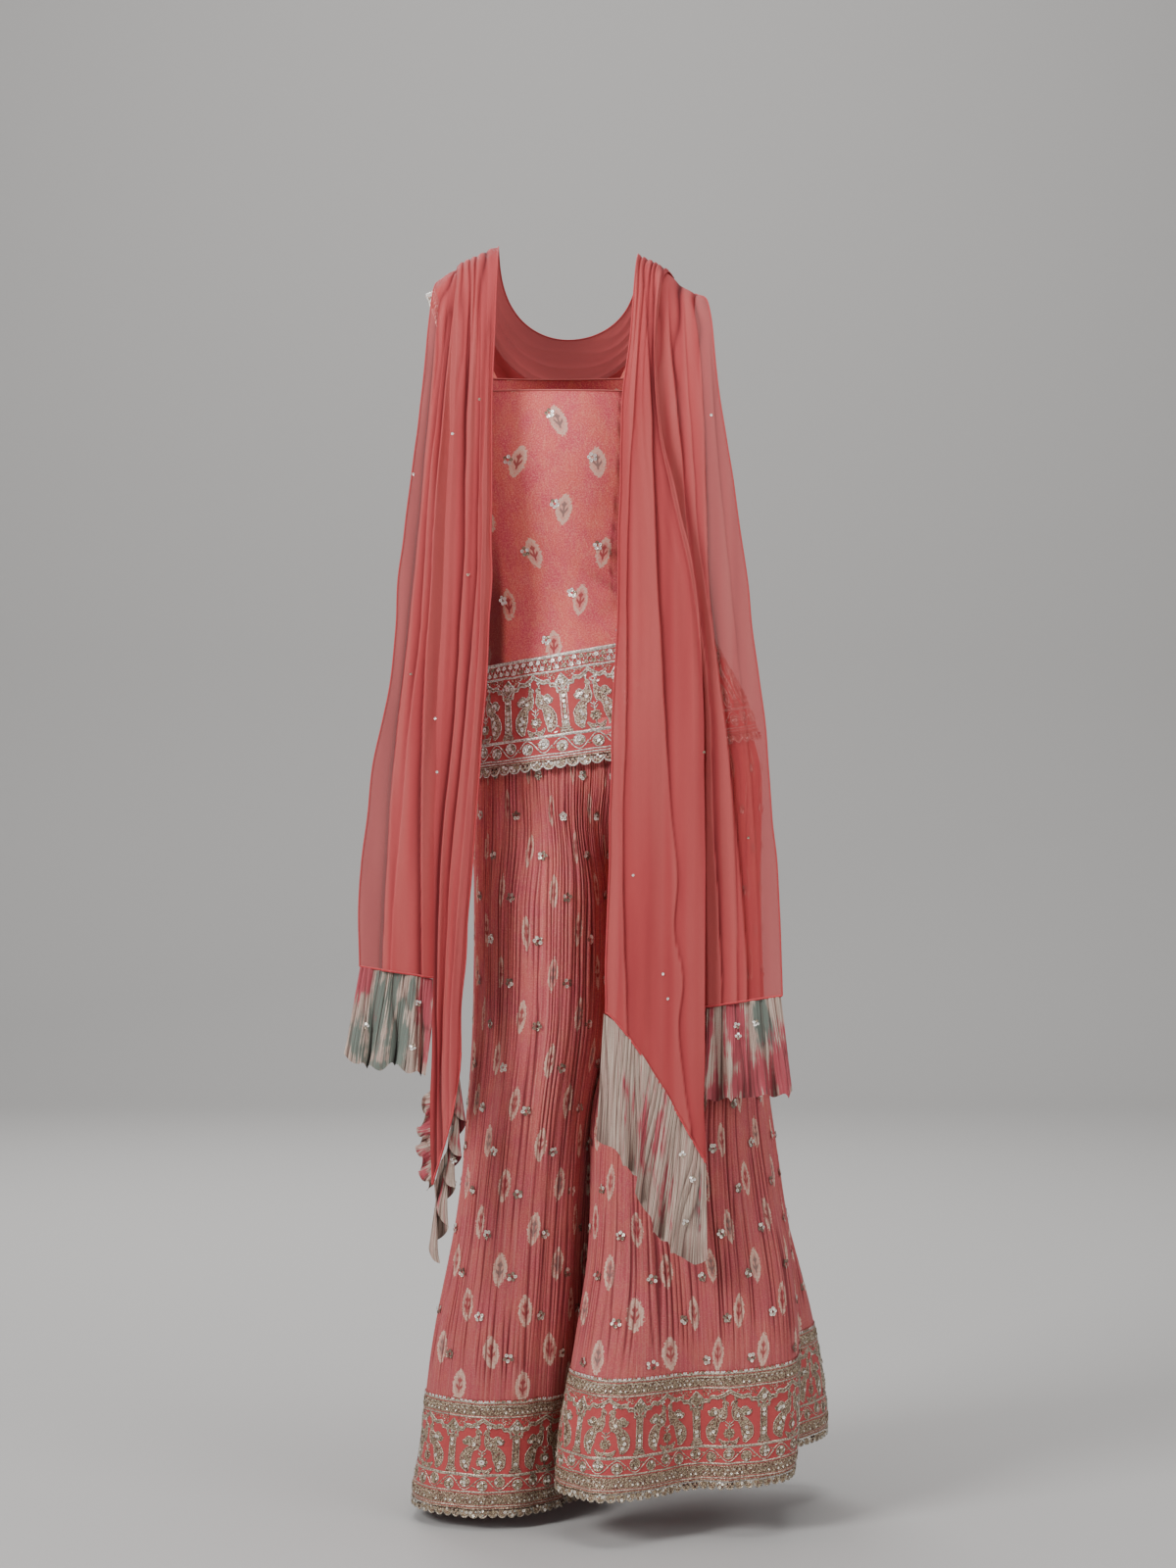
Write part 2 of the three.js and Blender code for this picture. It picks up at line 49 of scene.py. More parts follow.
# ---- camera first ----
def make_camera():
    data = bpy.data.cameras.new("camera")
    data.lens = 76.3
    data.sensor_width = 36
    camera = bpy.data.objects.new("camera", data)
    camera.location = CAMERA
    camera.rotation_euler = (math.radians(90 - 0.66), 0, math.radians(180))
    bpy.context.scene.collection.objects.link(camera)
    bpy.context.scene.camera = camera


make_camera()


# ---- tables and noise ----
def lerp(a, b, t):
    return a + (b - a) * t


def ease(t):
    t = np.clip(t, 0, 1)
    return t * t * (3 - 2 * t)


def numbers(text, width):
    """A block of numbers as rows of this width."""
    return np.array(text.split(), float).reshape(-1, width)


def table(names, rows):
    """Named columns; the first is the place that the others are read at."""
    names = names.split()
    rows = numbers(rows, len(names)) if isinstance(rows, str) else np.array(rows, float)
    return dict(zip(names, rows.T))


def column(rows, name, place):
    """A named column at each place, on a smooth curve through the rows."""
    keys, values = next(iter(rows.values())), rows[name]
    if keys[0] > keys[-1]:
        keys, place = -keys, -np.asarray(place)
    last = len(keys) - 1
    i = np.clip(np.searchsorted(keys, place, side="right") - 1, 0, last - 1)
    before, after = np.maximum(i - 1, 0), np.minimum(i + 2, last)
    span = keys[i + 1] - keys[i]
    t = np.clip((place - keys[i]) / span, 0, 1)
    slope_a = (values[i + 1] - values[before]) / (keys[i + 1] - keys[before]) * span
    slope_b = (values[after] - values[i]) / (keys[after] - keys[i]) * span
    bend = t * (1 - t) * ((1 - t) * slope_a - t * slope_b)
    return lerp(values[i], values[i + 1], t * t * (3 - 2 * t)) + bend


def hashed(a, b, seed):
    """A number from -1 to 1 for each pair of whole numbers."""
    n = (a * 374761393 + b * 668265263 + seed * 974711) & 0x7FFFFFFF
    n = ((n ^ (n >> 13)) * 1274126177) & 0x7FFFFFFF
    return ((n ^ (n >> 16)) & 0xFFFF) / 32767.5 - 1


def share_of(a, b, seed):
    """As hashed, from 0 to 1."""
    return 0.5 + 0.5 * hashed(a, b, seed)


def unit(vectors):
    return vectors / np.maximum(np.linalg.norm(vectors, axis=-1, keepdims=True), 1e-9)


def steps(points, axis):
    """Distances between neighbours along one axis of a lattice of places."""
    return np.linalg.norm(np.diff(points, axis=axis), axis=-1)


def running(lengths):
    return np.concatenate([[0], np.cumsum(lengths)])


def grain(x, y, seed):
    """Smooth value noise from -1 to 1."""
    x, y = np.broadcast_arrays(np.asarray(x, float), np.asarray(y, float))
    i, j = np.floor(x).astype(np.int64), np.floor(y).astype(np.int64)
    fx, fy = ease(x - i), ease(y - j)
    low = lerp(hashed(i, j, seed), hashed(i + 1, j, seed), fx)
    high = lerp(hashed(i, j + 1, seed), hashed(i + 1, j + 1, seed), fx)
    return lerp(low, high, fy)


# ---- the garment's sections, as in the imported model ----
CHEST_X = 9
NECK_BACK, NECK_FRONT, UNDERARM = -159, -128, -200
STRAP_INNER, STRAP_OUTER = 0.56, 0.82
STRAP_RIDGE = (129, 159)
HEM_Z, HEM_X, HEM_SLOPE = -594, -62, -0.136
TRIM_HEIGHT = 11
KURTI_BORDER, LEG_BORDER = 122, 133
WAIST_TOP, WAIST_BOTTOM = -424, -454
CROTCH_TOP, CROTCH_BOTTOM = -600, -770
TUNIC = table("z x half back front", """
    -110 9 124 78 84
    -150 9 136 84 96
    -200 9 150 92 116
    -245 7 152 95 126
    -320 0 140 90 106
    -395 -16 134 88 93
    -460 -36 147 98 98
    -530 -52 168 114 105
    -600 -62 181 124 110
    -650 -66 186 128 114""")
SEAT = table("z x half back front", """
    -424 -26 131 84 84
    -460 -36 138 89 90
    -530 -52 158 105 96
    -600 -62 171 114 100
    -680 -62 173 117 104
    -780 -62 174 117 106""")
LEFT_LEG = {
    "side": 1, "hem": -1497, "rise": 6, "nearest": 70,
    "sections": table("z x y half depth folds", """
        -600 24 0 85 112 0
        -760 24.5 2 84 114 0
        -900 27 2 83 114 0
        -1012 39 -2 77 114 0.05
        -1100 47 -12 78 116 0.16
        -1200 54 -28 81 122 0.36
        -1300 61 -46 91 130 0.64
        -1400 66 -64 102 134 0.88
        -1500 70 -75 110 136 1"""),
    "folds": "0 112  34 134  58 134  82 131  115 108  150 92  180 101  205 127  235 152  263 160  "
             "290 148  325 121",
}
RIGHT_LEG = {
    "side": -1, "hem": -1457, "rise": 22, "nearest": 50,
    "sections": table("z x y half depth folds", """
        -600 -149 0 85 112 0
        -760 -149.5 2 84 114 0
        -900 -152 3 86 116 0
        -1012 -145 5 97 118 0.06
        -1100 -149 6 98 122 0.22
        -1200 -159 4 105 128 0.44
        -1300 -164 -2 114 134 0.7
        -1400 -164 -10 124 138 0.92
        -1500 -165 -15 126 140 1"""),
    "folds": "0 130  11 150  25 194  42 206  55 198  76 103  105 114  137 132  170 103  200 112  "
             "219 210  236 218  262 188  287 154  318 124  341 122",
}
SHOULDER_Z, SHOULDER_FROM, SHOULDER_SLOPE = 22, 71, 0.46
FALL_PATH = table("level y z turn", """
    0 0 0 0
    -25 27 -5 0.25
    -55 54 -24 0.5
    -90 78 -60 0.75
    -130 97 -112 0.95
    -200 114 -196 1
    -300 122 -300 1
    -450 130 -450 1
    -600 140 -600 1
    -850 147 -850 1
    -1250 151 -1250 1""")
EDGES = "level outer near far inner stack"
LEFT_FALL = {
    "side": 1, "far_end": 8 / 22, "near_start": 12 / 22,
    "edges": table(EDGES, """
        0 147 126 108 81 4
        -20 154 129 106 80 5.5
        -55 158 130 105 80 8
        -130 163 132 103 82 14
        -200 171 134 104 84 18
        -300 185 138 105 84 22
        -420 196 142 108 87 24
        -510 205 146 112 90 24
        -600 222 149 118 98 24
        -735 237 151 126 107 24
        -850 238 152 133 117 24
        -985 238 155 139 123 24
        -1085 238 153 141 131 24"""),
    "bottom": (-833, -849, -1083, -930, 0.42),
}
RIGHT_FALL = {
    "side": -1, "far_end": 8 / 22, "near_start": 12 / 22,
    "edges": table(EDGES, """
        0 -156 -131 -112 -88 4
        -20 -166 -124 -108 -87 5.5
        -55 -171 -116 -101 -84 8
        -130 -178 -108 -94 -76 14
        -200 -187 -112 -92 -66 18
        -300 -200 -132 -96 -64 22
        -370 -210 -150 -97 -63 24
        -440 -219 -158 -98 -62 24
        -576 -235 -162 -95 -54 24
        -735 -246 -162 -92 -51 24
        -850 -251 -162 -90 -47 24
        -1060 -251 -163 -90 -42 24"""),
    "bottom": (-867, -890, -1060, -885, 1.3),
}


# ---- surfaces: arrays of shares or angles in, points in millimetres out ----
def stack(x, y, z):
    return np.stack(np.broadcast_arrays(x, y, z), axis=-1).astype(float)


def oval_point(rows, angle, z):
    half = column(rows, "half", z)
    depth = np.where(np.sin(angle) > 0, column(rows, "back", z), column(rows, "front", z))
    full = 1 + 0.04 * np.sin(2 * angle) ** 2
    x = column(rows, "x", z) + half * full * np.cos(angle)
    return stack(x, depth * full * np.sin(angle), z)


def kurti_hem(x):
    return HEM_Z + HEM_SLOPE * (x - HEM_X)


def tunic_edge_z(angle, above):
    return kurti_hem(oval_point(TUNIC, angle, HEM_Z + 0 * angle)[..., 0]) + above


def tunic_top(neck, angle):
    past = (np.abs(np.cos(angle)) - STRAP_OUTER) / (1 - STRAP_OUTER)
    return lerp(neck, UNDERARM, ease(past))


def fold_reach(leg, angle):
    rows = numbers(leg["folds"], 2)
    ring = np.vstack([rows[-1:] - (360, 0), rows, rows[:2] + (360, 0)])
    return column(table("angle reach", ring), "reach", np.degrees(angle) % 360)


def leg_point(leg, angle, z):
    at = {name: column(leg["sections"], name, z) for name in ("x", "y", "half", "depth", "folds")}
    oval = 1 / np.hypot(np.cos(angle) / at["half"], np.sin(angle) / at["depth"])
    reach = lerp(oval, fold_reach(leg, angle), at["folds"])
    return stack(at["x"] + reach * np.cos(angle), at["y"] + reach * np.sin(angle), z)


def leg_angle(leg, turn):
    return turn if leg["side"] > 0 else np.pi - turn


def trouser_point(leg, turn, z):
    """Round the seat above the crotch and round the leg below; turn is -pi to pi."""
    seat_turn = turn / 2 if leg["side"] > 0 else np.pi - turn / 2
    share = ease((CROTCH_TOP - z) / (CROTCH_TOP - CROTCH_BOTTOM))[..., None]
    point = lerp(oval_point(SEAT, seat_turn, z), leg_point(leg, leg_angle(leg, turn), z), share)
    point[..., 0] += leg["side"] * 0.15
    return point


def leg_hem(leg, turn):
    swing = np.cos(leg_angle(leg, turn) - math.radians(leg["nearest"]))
    return leg["hem"] + leg["rise"] * (1 - swing) / 2


def shoulder(x):
    return SHOULDER_Z - SHOULDER_SLOPE * (np.abs(x - CHEST_X) - SHOULDER_FROM)


def scarf_rest(x):
    """Where the scarf lies on the straps, rounded off towards the arm."""
    out = np.abs(x - CHEST_X)
    return shoulder(x) - 5.5 - 4.5 * ease((out - 118) / 36) - 5 * ease((out - 128) / 26) ** 2


def normals_of(points):
    """Unit normals of a lattice of points, from its own neighbours."""
    return unit(np.cross(np.gradient(points, axis=0), np.gradient(points, axis=1)))


def outward_of(points):
    """Unit normals that point away from the middle of each level."""
    normal = normals_of(points)
    away = points - points.mean(axis=0, keepdims=True)
    return normal * (1 if (normal * away).sum() > 0 else -1)


# ---- meshes ----
def link(name, mesh, material):
    mesh.materials.append(material)
    item = bpy.data.objects.new(name, mesh)
    bpy.context.scene.collection.objects.link(item)
    return item


def mesh_from(name, vertices, faces, material, smooth=True):
    """A mesh from arrays: vertices in mm, faces as rows of corner numbers of one length."""
    mesh = bpy.data.meshes.new(name)
    corners = faces.shape[1]
    mesh.vertices.add(len(vertices))
    mesh.vertices.foreach_set("co", (vertices * MM).astype(np.float32).ravel())
    mesh.loops.add(faces.size)
    mesh.loops.foreach_set("vertex_index", faces.astype(np.int32).ravel())
    mesh.polygons.add(len(faces))
    mesh.polygons.foreach_set("loop_start", np.arange(0, faces.size, corners, dtype=np.int32))
    mesh.polygons.foreach_set("use_smooth", np.full(len(faces), smooth))
    mesh.update(calc_edges=True)
    return link(name, mesh, material)


def lattice_faces(columns, rows, ring=False):
    i = np.arange(columns if ring else columns - 1)[:, None]
    j = np.arange(rows - 1)[None, :]
    here, there = i * rows + j, ((i + 1) % columns) * rows + j
    return np.stack([here, there, there + 1, here + 1], axis=-1).reshape(-1, 4)


def cloth_mesh(name, points, material, flat, painted_shading=None, flip=False):
    """A sheet through a lattice of points. `flat` gives each point's place on the flat cloth, in metres,
    as the UV; the shading number held for each point is painted shade: 0 on crests, 1 in valleys."""
    faces = lattice_faces(*points.shape[:2])
    if flip:
        faces = faces[:, ::-1]
    item = mesh_from(name, points.reshape(-1, 3), faces, material)
    layer = item.data.uv_layers.new(name="cloth")
    layer.data.foreach_set("uv", flat.reshape(-1, 2)[faces.ravel()].astype(np.float32).ravel())
    if painted_shading is not None:
        hold(item, "painted_shading", painted_shading)
    return item


def dress(item, slot, *nodes):
    """The piece moves with the suit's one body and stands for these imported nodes."""
    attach(item, "root")
    if nodes:
        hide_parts(*nodes)
    return item


# ---- node graphs ----
class Wire:
    """A node's output. Sums written with it add Math nodes."""

    def __init__(self, graph, socket):
        self.graph, self.socket = graph, socket

    def __abs__(self):
        return self.graph.math("ABSOLUTE", self)

    def __floor__(self):
        return self.graph.math("FLOOR", self)

    def fract(self):
        return self.graph.math("FRACT", self)

    def step(self, low, high, smooth=True):
        """0 below low and 1 above high."""
        inputs = {"Value": self, "From Min": low, "From Max": high}
        kind = "SMOOTHSTEP" if smooth else "LINEAR"
        return self.graph.out("MapRange", "Result", inputs, interpolation_type=kind)

    def tint(self, share, *tone):
        """The colour with a share of another over it."""
        return self.graph.mix(share, self, colour(*tone))


def add_operators():
    kinds = {"add": "ADD", "sub": "SUBTRACT", "mul": "MULTIPLY", "truediv": "DIVIDE",
             "pow": "POWER", "mod": "FLOORED_MODULO"}
    for name, kind in kinds.items():
        setattr(Wire, f"__{name}__", lambda self, other, kind=kind: self.graph.math(kind, self, other))


add_operators()


class Graph:
    """A material's node graph. Values may be numbers or wires."""

    def __init__(self, name):
        self.material = bpy.data.materials.new(name)
        self.material.use_nodes = True
        self.tree = self.material.node_tree
        self.tree.nodes.clear()

    def node(self, kind, inputs=(), **settings):
        made = self.tree.nodes.new("ShaderNode" + kind)
        for name, value in settings.items():
            setattr(made, name, value)
        for name, value in dict(inputs).items():
            if isinstance(value, Wire):
                self.tree.links.new(value.socket, made.inputs[name])
            else:
                made.inputs[name].default_value = value
        return made

    def out(self, kind, output, inputs=(), **settings):
        return Wire(self, self.node(kind, inputs, **settings).outputs[output])

    def math(self, operation, *values, clamp=False):
        return self.out("Math", 0, enumerate(values), operation=operation, use_clamp=clamp)

    def mix(self, share, a, b):
        return self.out("Mix", 2, {0: share, 6: a, 7: b}, data_type="RGBA")

    def noise(self, vector, scale, detail=2.0, roughness=0.5):
        """Smooth noise; with two scales it is stretched along the cloth."""
        if isinstance(scale, tuple):
            vector = self.out("Mapping", "Vector", {"Vector": vector, "Scale": (*scale, 1)})
            scale = 1.0
        inputs = {"Vector": vector, "Scale": scale, "Detail": detail, "Roughness": roughness}
        return self.out("TexNoise", "Fac", inputs)

    def cloth_uv(self):
        """A place on the flat cloth, in metres."""
        return self.out("UVMap", 0, uv_map="cloth")

    def place(self):
        return self.out("TexCoord", "Object")

    def held(self, name):
        """A number that the mesh holds for each point."""
        return self.out("Attribute", "Fac", attribute_name=name)

    def split(self, vector):
        outputs = self.node("SeparateXYZ", {"Vector": vector}).outputs
        return [Wire(self, output) for output in outputs]

    def bump(self, height, distance, strength=1.0, under=None):
        inputs = {"Height": height, "Distance": distance, "Strength": strength}
        if under is not None:
            inputs["Normal"] = under
        return self.out("Bump", "Normal", inputs)

    def surface(self, base, roughness, normal, **more):
        """The main shader; the names of more are its sockets', with _ for a space."""
        inputs = {"Base Color": base, "Roughness": roughness, "Normal": normal}
        inputs.update({name.replace("_", " "): value for name, value in more.items()})
        return self.out("BsdfPrincipled", 0, inputs)

    def cloth(self, base, roughness, normal, sheen):
        return self.finish(self.surface(base, roughness, normal, Sheen_Weight=sheen, Sheen_Roughness=0.5,
                                        Specular_IOR_Level=0.25))

    def finish(self, shader):
        self.node("OutputMaterial", {"Surface": shader})
        return self.material


def colour(red, green, blue):
    """A colour in everyday 0-255 steps, as the shader's linear one."""
    def linear(step):
        part = step / 255
        return part / 12.92 if part <= 0.04045 else ((part + 0.055) / 1.055) ** 2.4
    return (linear(red), linear(green), linear(blue), 1)


def woven_bump(graph, uv, pitch, under=None):
    """Fine plain weave: threads both ways at the given pitch, in metres."""
    inputs = {"Vector": uv, "Scale": math.tau / 20 / pitch, "Distortion": 1.2, "Detail": 1.0,
              "Detail Scale": 2.0}
    across, along = (graph.out("TexWave", "Fac", inputs, bands_direction=way) for way in "XY")
    return graph.bump(across * along, 0.00025, 0.5, under)


def leaf_print(graph, uv, cell, leaf, base, lean, slim=None):
    """Ikat leaves, ragged at the edge, with a sprig of three pairs of leaflets inside. `slim`
    is a wire that narrows them, where the pleats hide part of each leaf."""
    cell_wide, cell_long = cell
    half_wide, half_long = leaf
    u, v, _ = graph.split(uv)
    across = u / cell_wide
    number = math.floor(across)
    down = v / cell_long + number % 2.0 * 0.5
    row = math.floor(down)
    place = graph.out("CombineXYZ", 0, {"X": number, "Y": row})
    chance = graph.out("TexWhiteNoise", "Color", {"Vector": place}, noise_dimensions="3D")
    toss_x, toss_y, toss_z = graph.split(chance)
    x = (across - number - 0.5 + (toss_x - 0.5) * 0.16) * cell_wide
    y = (down - row - 0.5 + (toss_y - 0.5) * 0.08) * cell_long
    x = x + y * ((toss_z - 0.5) * lean)
    teeth = graph.noise(uv, (400, 400), 1.5) - 0.5
    wide = half_wide if slim is None else slim * half_wide
    side = (abs(x) / wide) ** 1.35
    tip = (abs(y) / half_long) ** 1.9
    depth = side + tip + teeth * 1.05
    heart = depth.step(0.62, 0.48)
    twig = ((y - abs(x) * 1.2) / (half_long * 0.46) + 0.1).fract()
    blades = abs(twig - 0.5).step(0.28, 0.18)
    stem = abs(x).step(half_wide * 0.17, half_wide * 0.07)
    short = (side + tip * 1.6).step(0.5, 0.34)
    sprig = heart * short * graph.math("MAXIMUM", blades, stem)
    ink = graph.mix((toss_z * 7.3).fract().step(0.6, 0.65), colour(150, 36, 48), colour(120, 98, 94))
    strength = graph.noise(uv, (700, 500), 3.0).step(0.25, 0.6) * 0.36 + 0.46
    if slim is not None:
        kept = (graph.noise(uv, (520, 16)) + slim * 0.14).step(0.42, 0.54)
        strength = strength * (kept * 0.9 + 0.2)
    cream = base.tint(depth.step(1.04, 0.94) * strength, 222, 192, 170)
    hollow = (toss_x * 5.1).fract() * 0.55 + 0.25
    paler = graph.mix(heart * hollow, cream, base)
    return graph.mix(sprig * 0.8, paler, ink)


def mottled_coral(graph, uv, streak, light):
    """Faded ikat ground: pink and orange patches, with threads that run along the cloth."""
    def tone(*parts):
        return [part * light for part in parts]
    patches = graph.noise(uv, (34, 22), 4.0, 0.65).step(0.34, 0.66)
    ground = graph.mix(patches, colour(*tone(204, 78, 92)), colour(*tone(214, 96, 88)))
    feather = graph.noise(uv, (260, 60)) * 0.55
    rows = graph.math("SINE", (graph.noise(uv, (16, 15)) + feather) * 26.0)
    ground = ground.tint(rows.step(0.62, 1.0) * 0.22, *tone(226, 152, 120))
    slub = graph.noise(uv, (520, 560), 3.0, 0.85)
    ground = ground.tint(slub.step(0.50, 0.64) * 0.5, *tone(236, 160, 142))
    ground = ground.tint(slub.step(0.48, 0.36) * 0.5, *tone(164, 48, 78))
    threads = graph.noise(uv, (1500, streak))
    return ground.tint(threads.step(0.46, 0.74) * 0.3, *tone(226, 142, 134))


def tunic_material():
    graph = Graph("tunic_cloth")
    uv = graph.cloth_uv()
    base = mottled_coral(graph, uv, 260, 1.04)
    base = leaf_print(graph, uv, KURTI_CELL, (0.0100, 0.0182), base, 0.9)
    # Painted shade from tunic_shade: the scarf's shadow, the side folds, the back's seam and the drag
    # folds.
    base = base.tint(graph.held("painted_shading") * 0.85, 82, 20, 26)
    normal = graph.bump(graph.noise(uv, (700, 700)), 0.0007, 0.5, woven_bump(graph, uv, 0.0011))
    return graph.cloth(base, 0.8, normal, 0.06)


def trouser_material():
    graph = Graph("crinkled_cloth")
    uv = graph.cloth_uv()
    height = graph.split(uv)[1]
    low = height.step(-0.15, -0.95, False)
    base = mottled_coral(graph, uv, 30, 0.98).tint(0.13, 214, 146, 148).tint(low * 0.45, 136, 56, 58)
    base = leaf_print(graph, uv, LEG_CELL, (0.0088, 0.0205), base, 0.2, low * 0.58 + 0.46)
    pressed = graph.noise(uv, (360, 5), 2.0, 0.6)
    faint = height.step(-0.9, -0.55) * 0.2 + 0.1
    # Painted shade along the fine crinkles' low lines and painted highlight along their high lines, from
    # the same noise as their bump; the shade is stronger higher up.
    base = base.tint(pressed.step(0.42, 0.30) * faint, 140, 52, 62)
    base = base.tint(pressed.step(0.54, 0.68) * 0.22, 224, 160, 146)
    # Painted shade in the crinkles' valleys.
    base = base.tint(graph.held("painted_shading").step(0.22, 0.85) * 0.76, 110, 36, 44)
    normal = graph.bump(pressed, 0.0022, 0.6)
    normal = graph.bump(graph.noise(uv, (900, 12), 3.0, 0.65), 0.0012, 0.6, normal)
    return graph.cloth(base, 0.8, woven_bump(graph, uv, 0.0011, normal), 0.06)


def border_ground_material():
    """The bright plain cloth that the embroidery lies on."""
    graph = Graph("border_ground")
    uv = graph.cloth_uv()
    base = graph.mix(graph.noise(uv, 30.0), colour(180, 66, 70), colour(202, 88, 84))
    base = base.tint(graph.noise(uv, (120, 1300)) * 0.4, 146, 42, 50)
    return graph.cloth(base, 0.65, woven_bump(graph, uv, 0.0009), 0.1)


def chiffon_material():
    """Sheer cloth: its "veil" attribute is the share of light that the threads stop; its shading
    attribute gives a painted highlight on a crest at 0, plain cloth at 0.3 and painted shade in a fold at
    1."""
    graph = Graph("chiffon")
    uv = graph.cloth_uv()
    base = graph.mix(graph.noise(uv, (60, 7), 3.0), colour(190, 70, 75), colour(205, 88, 87))
    painted_shading = graph.held("painted_shading")
    # Painted highlight on the fold crests, then painted shade in the folds and clefts.
    base = base.tint(painted_shading.step(0.3, 0.0) * 0.36, 222, 122, 116)
    base = base.tint(painted_shading.step(0.28, 1.0, False) * 0.96, 104, 16, 24)
    base = base.tint(graph.noise(uv, (900, 120)) * 0.16, 150, 56, 60)
    normal = woven_bump(graph, uv, 0.0006)
    skin = graph.surface(base, 0.6, normal, Sheen_Weight=0.08, Sheen_Roughness=0.4, Specular_IOR_Level=0.22)
    glow = graph.out("BsdfTranslucent", 0, {"Color": base, "Normal": normal})
    body = graph.out("MixShader", 0, {0: 0.22, 1: skin, 2: glow})
    clear = graph.out("BsdfTransparent", 0, {"Color": colour(252, 182, 180)})
    cover = graph.math("ADD", graph.held("veil"), 0.03, clamp=True)
    return graph.finish(graph.out("MixShader", 0, {0: cover, 1: clear, 2: body}))


def crepe_material():
    """Crushed crepe with feathered ikat streaks of cream, grey-green and magenta."""
    graph = Graph("ruffle_crepe")
    uv = graph.cloth_uv()
    magenta, teal, _ = graph.split(graph.out("Attribute", "Vector", attribute_name="paint"))
    fine = graph.noise(uv, (520, 12), 3.0)
    wobble = graph.noise(uv, (170, 14))
    loose = (fine + wobble - 1.0) * 1.2 + (graph.noise(uv, 46.0, 3.0) - 0.5) * 1.0
    base = graph.mix(fine.step(0.34, 0.66), colour(208, 188, 172), colour(160, 132, 120))
    base = base.tint(wobble.step(0.42, 0.66) * 0.55, 182, 142, 132)
    base = base.tint((teal + loose).step(0.30, 0.62) * 0.84, 88, 112, 104)
    base = base.tint((magenta + loose).step(0.30, 0.64) * 0.86, 178, 56, 76)
    base = base.tint(graph.noise(uv, (560, 560), 3.0, 0.7).step(0.5, 0.66) * 0.28, 132, 94, 86)
    # Painted shade in the crinkles' valleys and on the waves' receding sides.
    base = base.tint(graph.held("painted_shading").step(0.25, 1.0) * 0.66, 74, 46, 42)
    return graph.cloth(base, 0.72, graph.bump(graph.noise(uv, (1100, 22)), 0.0014, 0.7), 0.1)


def metal_thread_material(name, tone, metallic, roughness, dark):
    graph = Graph(name)
    where = graph.place()
    speck = graph.noise(where, 500.0).step(0.35, 0.65)
    base = graph.mix(speck, colour(*tone), colour(*(dark * part for part in tone)))
    normal = graph.bump(graph.noise(where, 700.0, 1.0), 0.0006, 0.9)
    return graph.finish(graph.surface(base, roughness, normal, Metallic=metallic))


def foil_material(name, bright, dull, share):
    """Sequins and beads: a random share of them is painted bright as painted glints, and the others stay
    dull.
    """
    graph = Graph(name)
    chance = graph.out("NewGeometry", "Random Per Island")
    where = graph.place()
    speck = graph.noise(where, 500.0).step(0.35, 0.65)
    plain = graph.mix(speck, colour(*dull), colour(*(0.66 * part for part in dull)))
    # Painted glints: a random share of the islands takes the bright tone.
    base = plain.tint(chance.step(1 - share, 1.02 - share), *bright)
    normal = graph.bump(graph.noise(where, 700.0, 1.0), 0.0006, 0.9)
    return graph.finish(graph.surface(base, 0.24, normal, Metallic=0.45))


def couched_material(name, light, shade, gaps):
    """Close rows of coiled metal thread that fill a shape: warm silver with dark gaps."""
    graph = Graph(name)
    where = graph.place()
    coil = graph.out("TexVoronoi", "Distance", {"Vector": where, "Scale": 520.0})
    base = graph.mix(graph.noise(where, 240.0), colour(*light), colour(*shade))
    base = base.tint(coil.step(0.40, 0.72) * 0.85, *gaps)
    return graph.finish(graph.surface(base, 0.34, graph.bump(coil, 0.0012), Metallic=0.4))


def edge_material(name, pitch, low, high, fine, strength, roughness, sheen):
    """Rolled and turned edges of cloth: several layers, so not sheer."""
    graph = Graph(name)
    where = graph.place()
    base = graph.mix(graph.noise(where, pitch), colour(*low), colour(*high))
    normal = graph.bump(graph.noise(where, fine, 1.0), 0.0004, strength)
    return graph.cloth(base, roughness, normal, sheen)


KURTI_CELL, LEG_CELL = (0.047, 0.104), (0.035, 0.100)  # one printed leaf, in metres
tunic_cloth = tunic_material()
crinkled_cloth = trouser_material()
border_ground = border_ground_material()
chiffon = chiffon_material()
crepe = crepe_material()
zari_cord = metal_thread_material("zari_cord", (244, 236, 224), 0.35, 0.26, 0.66)
dull_cord = metal_thread_material("zari_cord_dull", (214, 198, 176), 0.4, 0.34, 0.56)
couched = couched_material("couched_zari", (218, 204, 182), (170, 146, 120), (120, 62, 58))
couched_dull = couched_material("couched_zari_dull", (204, 186, 160), (152, 130, 104), (112, 60, 54))
silver = foil_material("silver_sequin", (250, 246, 238), (196, 178, 154), 0.7)
soft_silver = foil_material("soft_silver_sequin", (230, 222, 208), (158, 140, 122), 0.5)
gilt = foil_material("gilt_sequin", (246, 240, 226), (184, 164, 136), 0.5)
dark_glass = foil_material("mirror_chip", (70, 76, 84), (22, 25, 29), 0.12)
pale_bead = foil_material("pale_bead", (206, 222, 218), (198, 176, 136), 0.5)
rolled_edge = edge_material("rolled_hem", 300.0, (176, 50, 56), (196, 70, 72), 1500.0, 0.6, 0.6, 0.2)
piping = edge_material("turned_edge", 500.0, (170, 74, 76), (196, 108, 100), 2000.0, 0.8, 0.75, 0.15)


# ---- tunic ----
def flat_map(points):
    """Each lattice point's place on the flat cloth: mean lengths across and down, in metres."""
    u, v = running(steps(points, 0).mean(axis=1)) * MM, running(steps(points, 1).mean(axis=0)) * MM
    return np.stack(np.broadcast_arrays(u[:, None], -v[None, :]), axis=-1)


def tunic_half(back, columns=120, rows=100):
    sign = 1 if back else -1
    neck = NECK_BACK if back else NECK_FRONT
    angle = sign * np.linspace(0.0007, np.pi - 0.0007, columns)[:, None]
    share = np.linspace(0, 1, rows)[None, :]
    z = lerp(tunic_top(neck, angle), tunic_edge_z(angle, TRIM_HEIGHT), share)
    points = oval_point(TUNIC, angle, z)
    points += normals_of(points) * (-sign) * tunic_drag(points, back)[..., None]
    return points


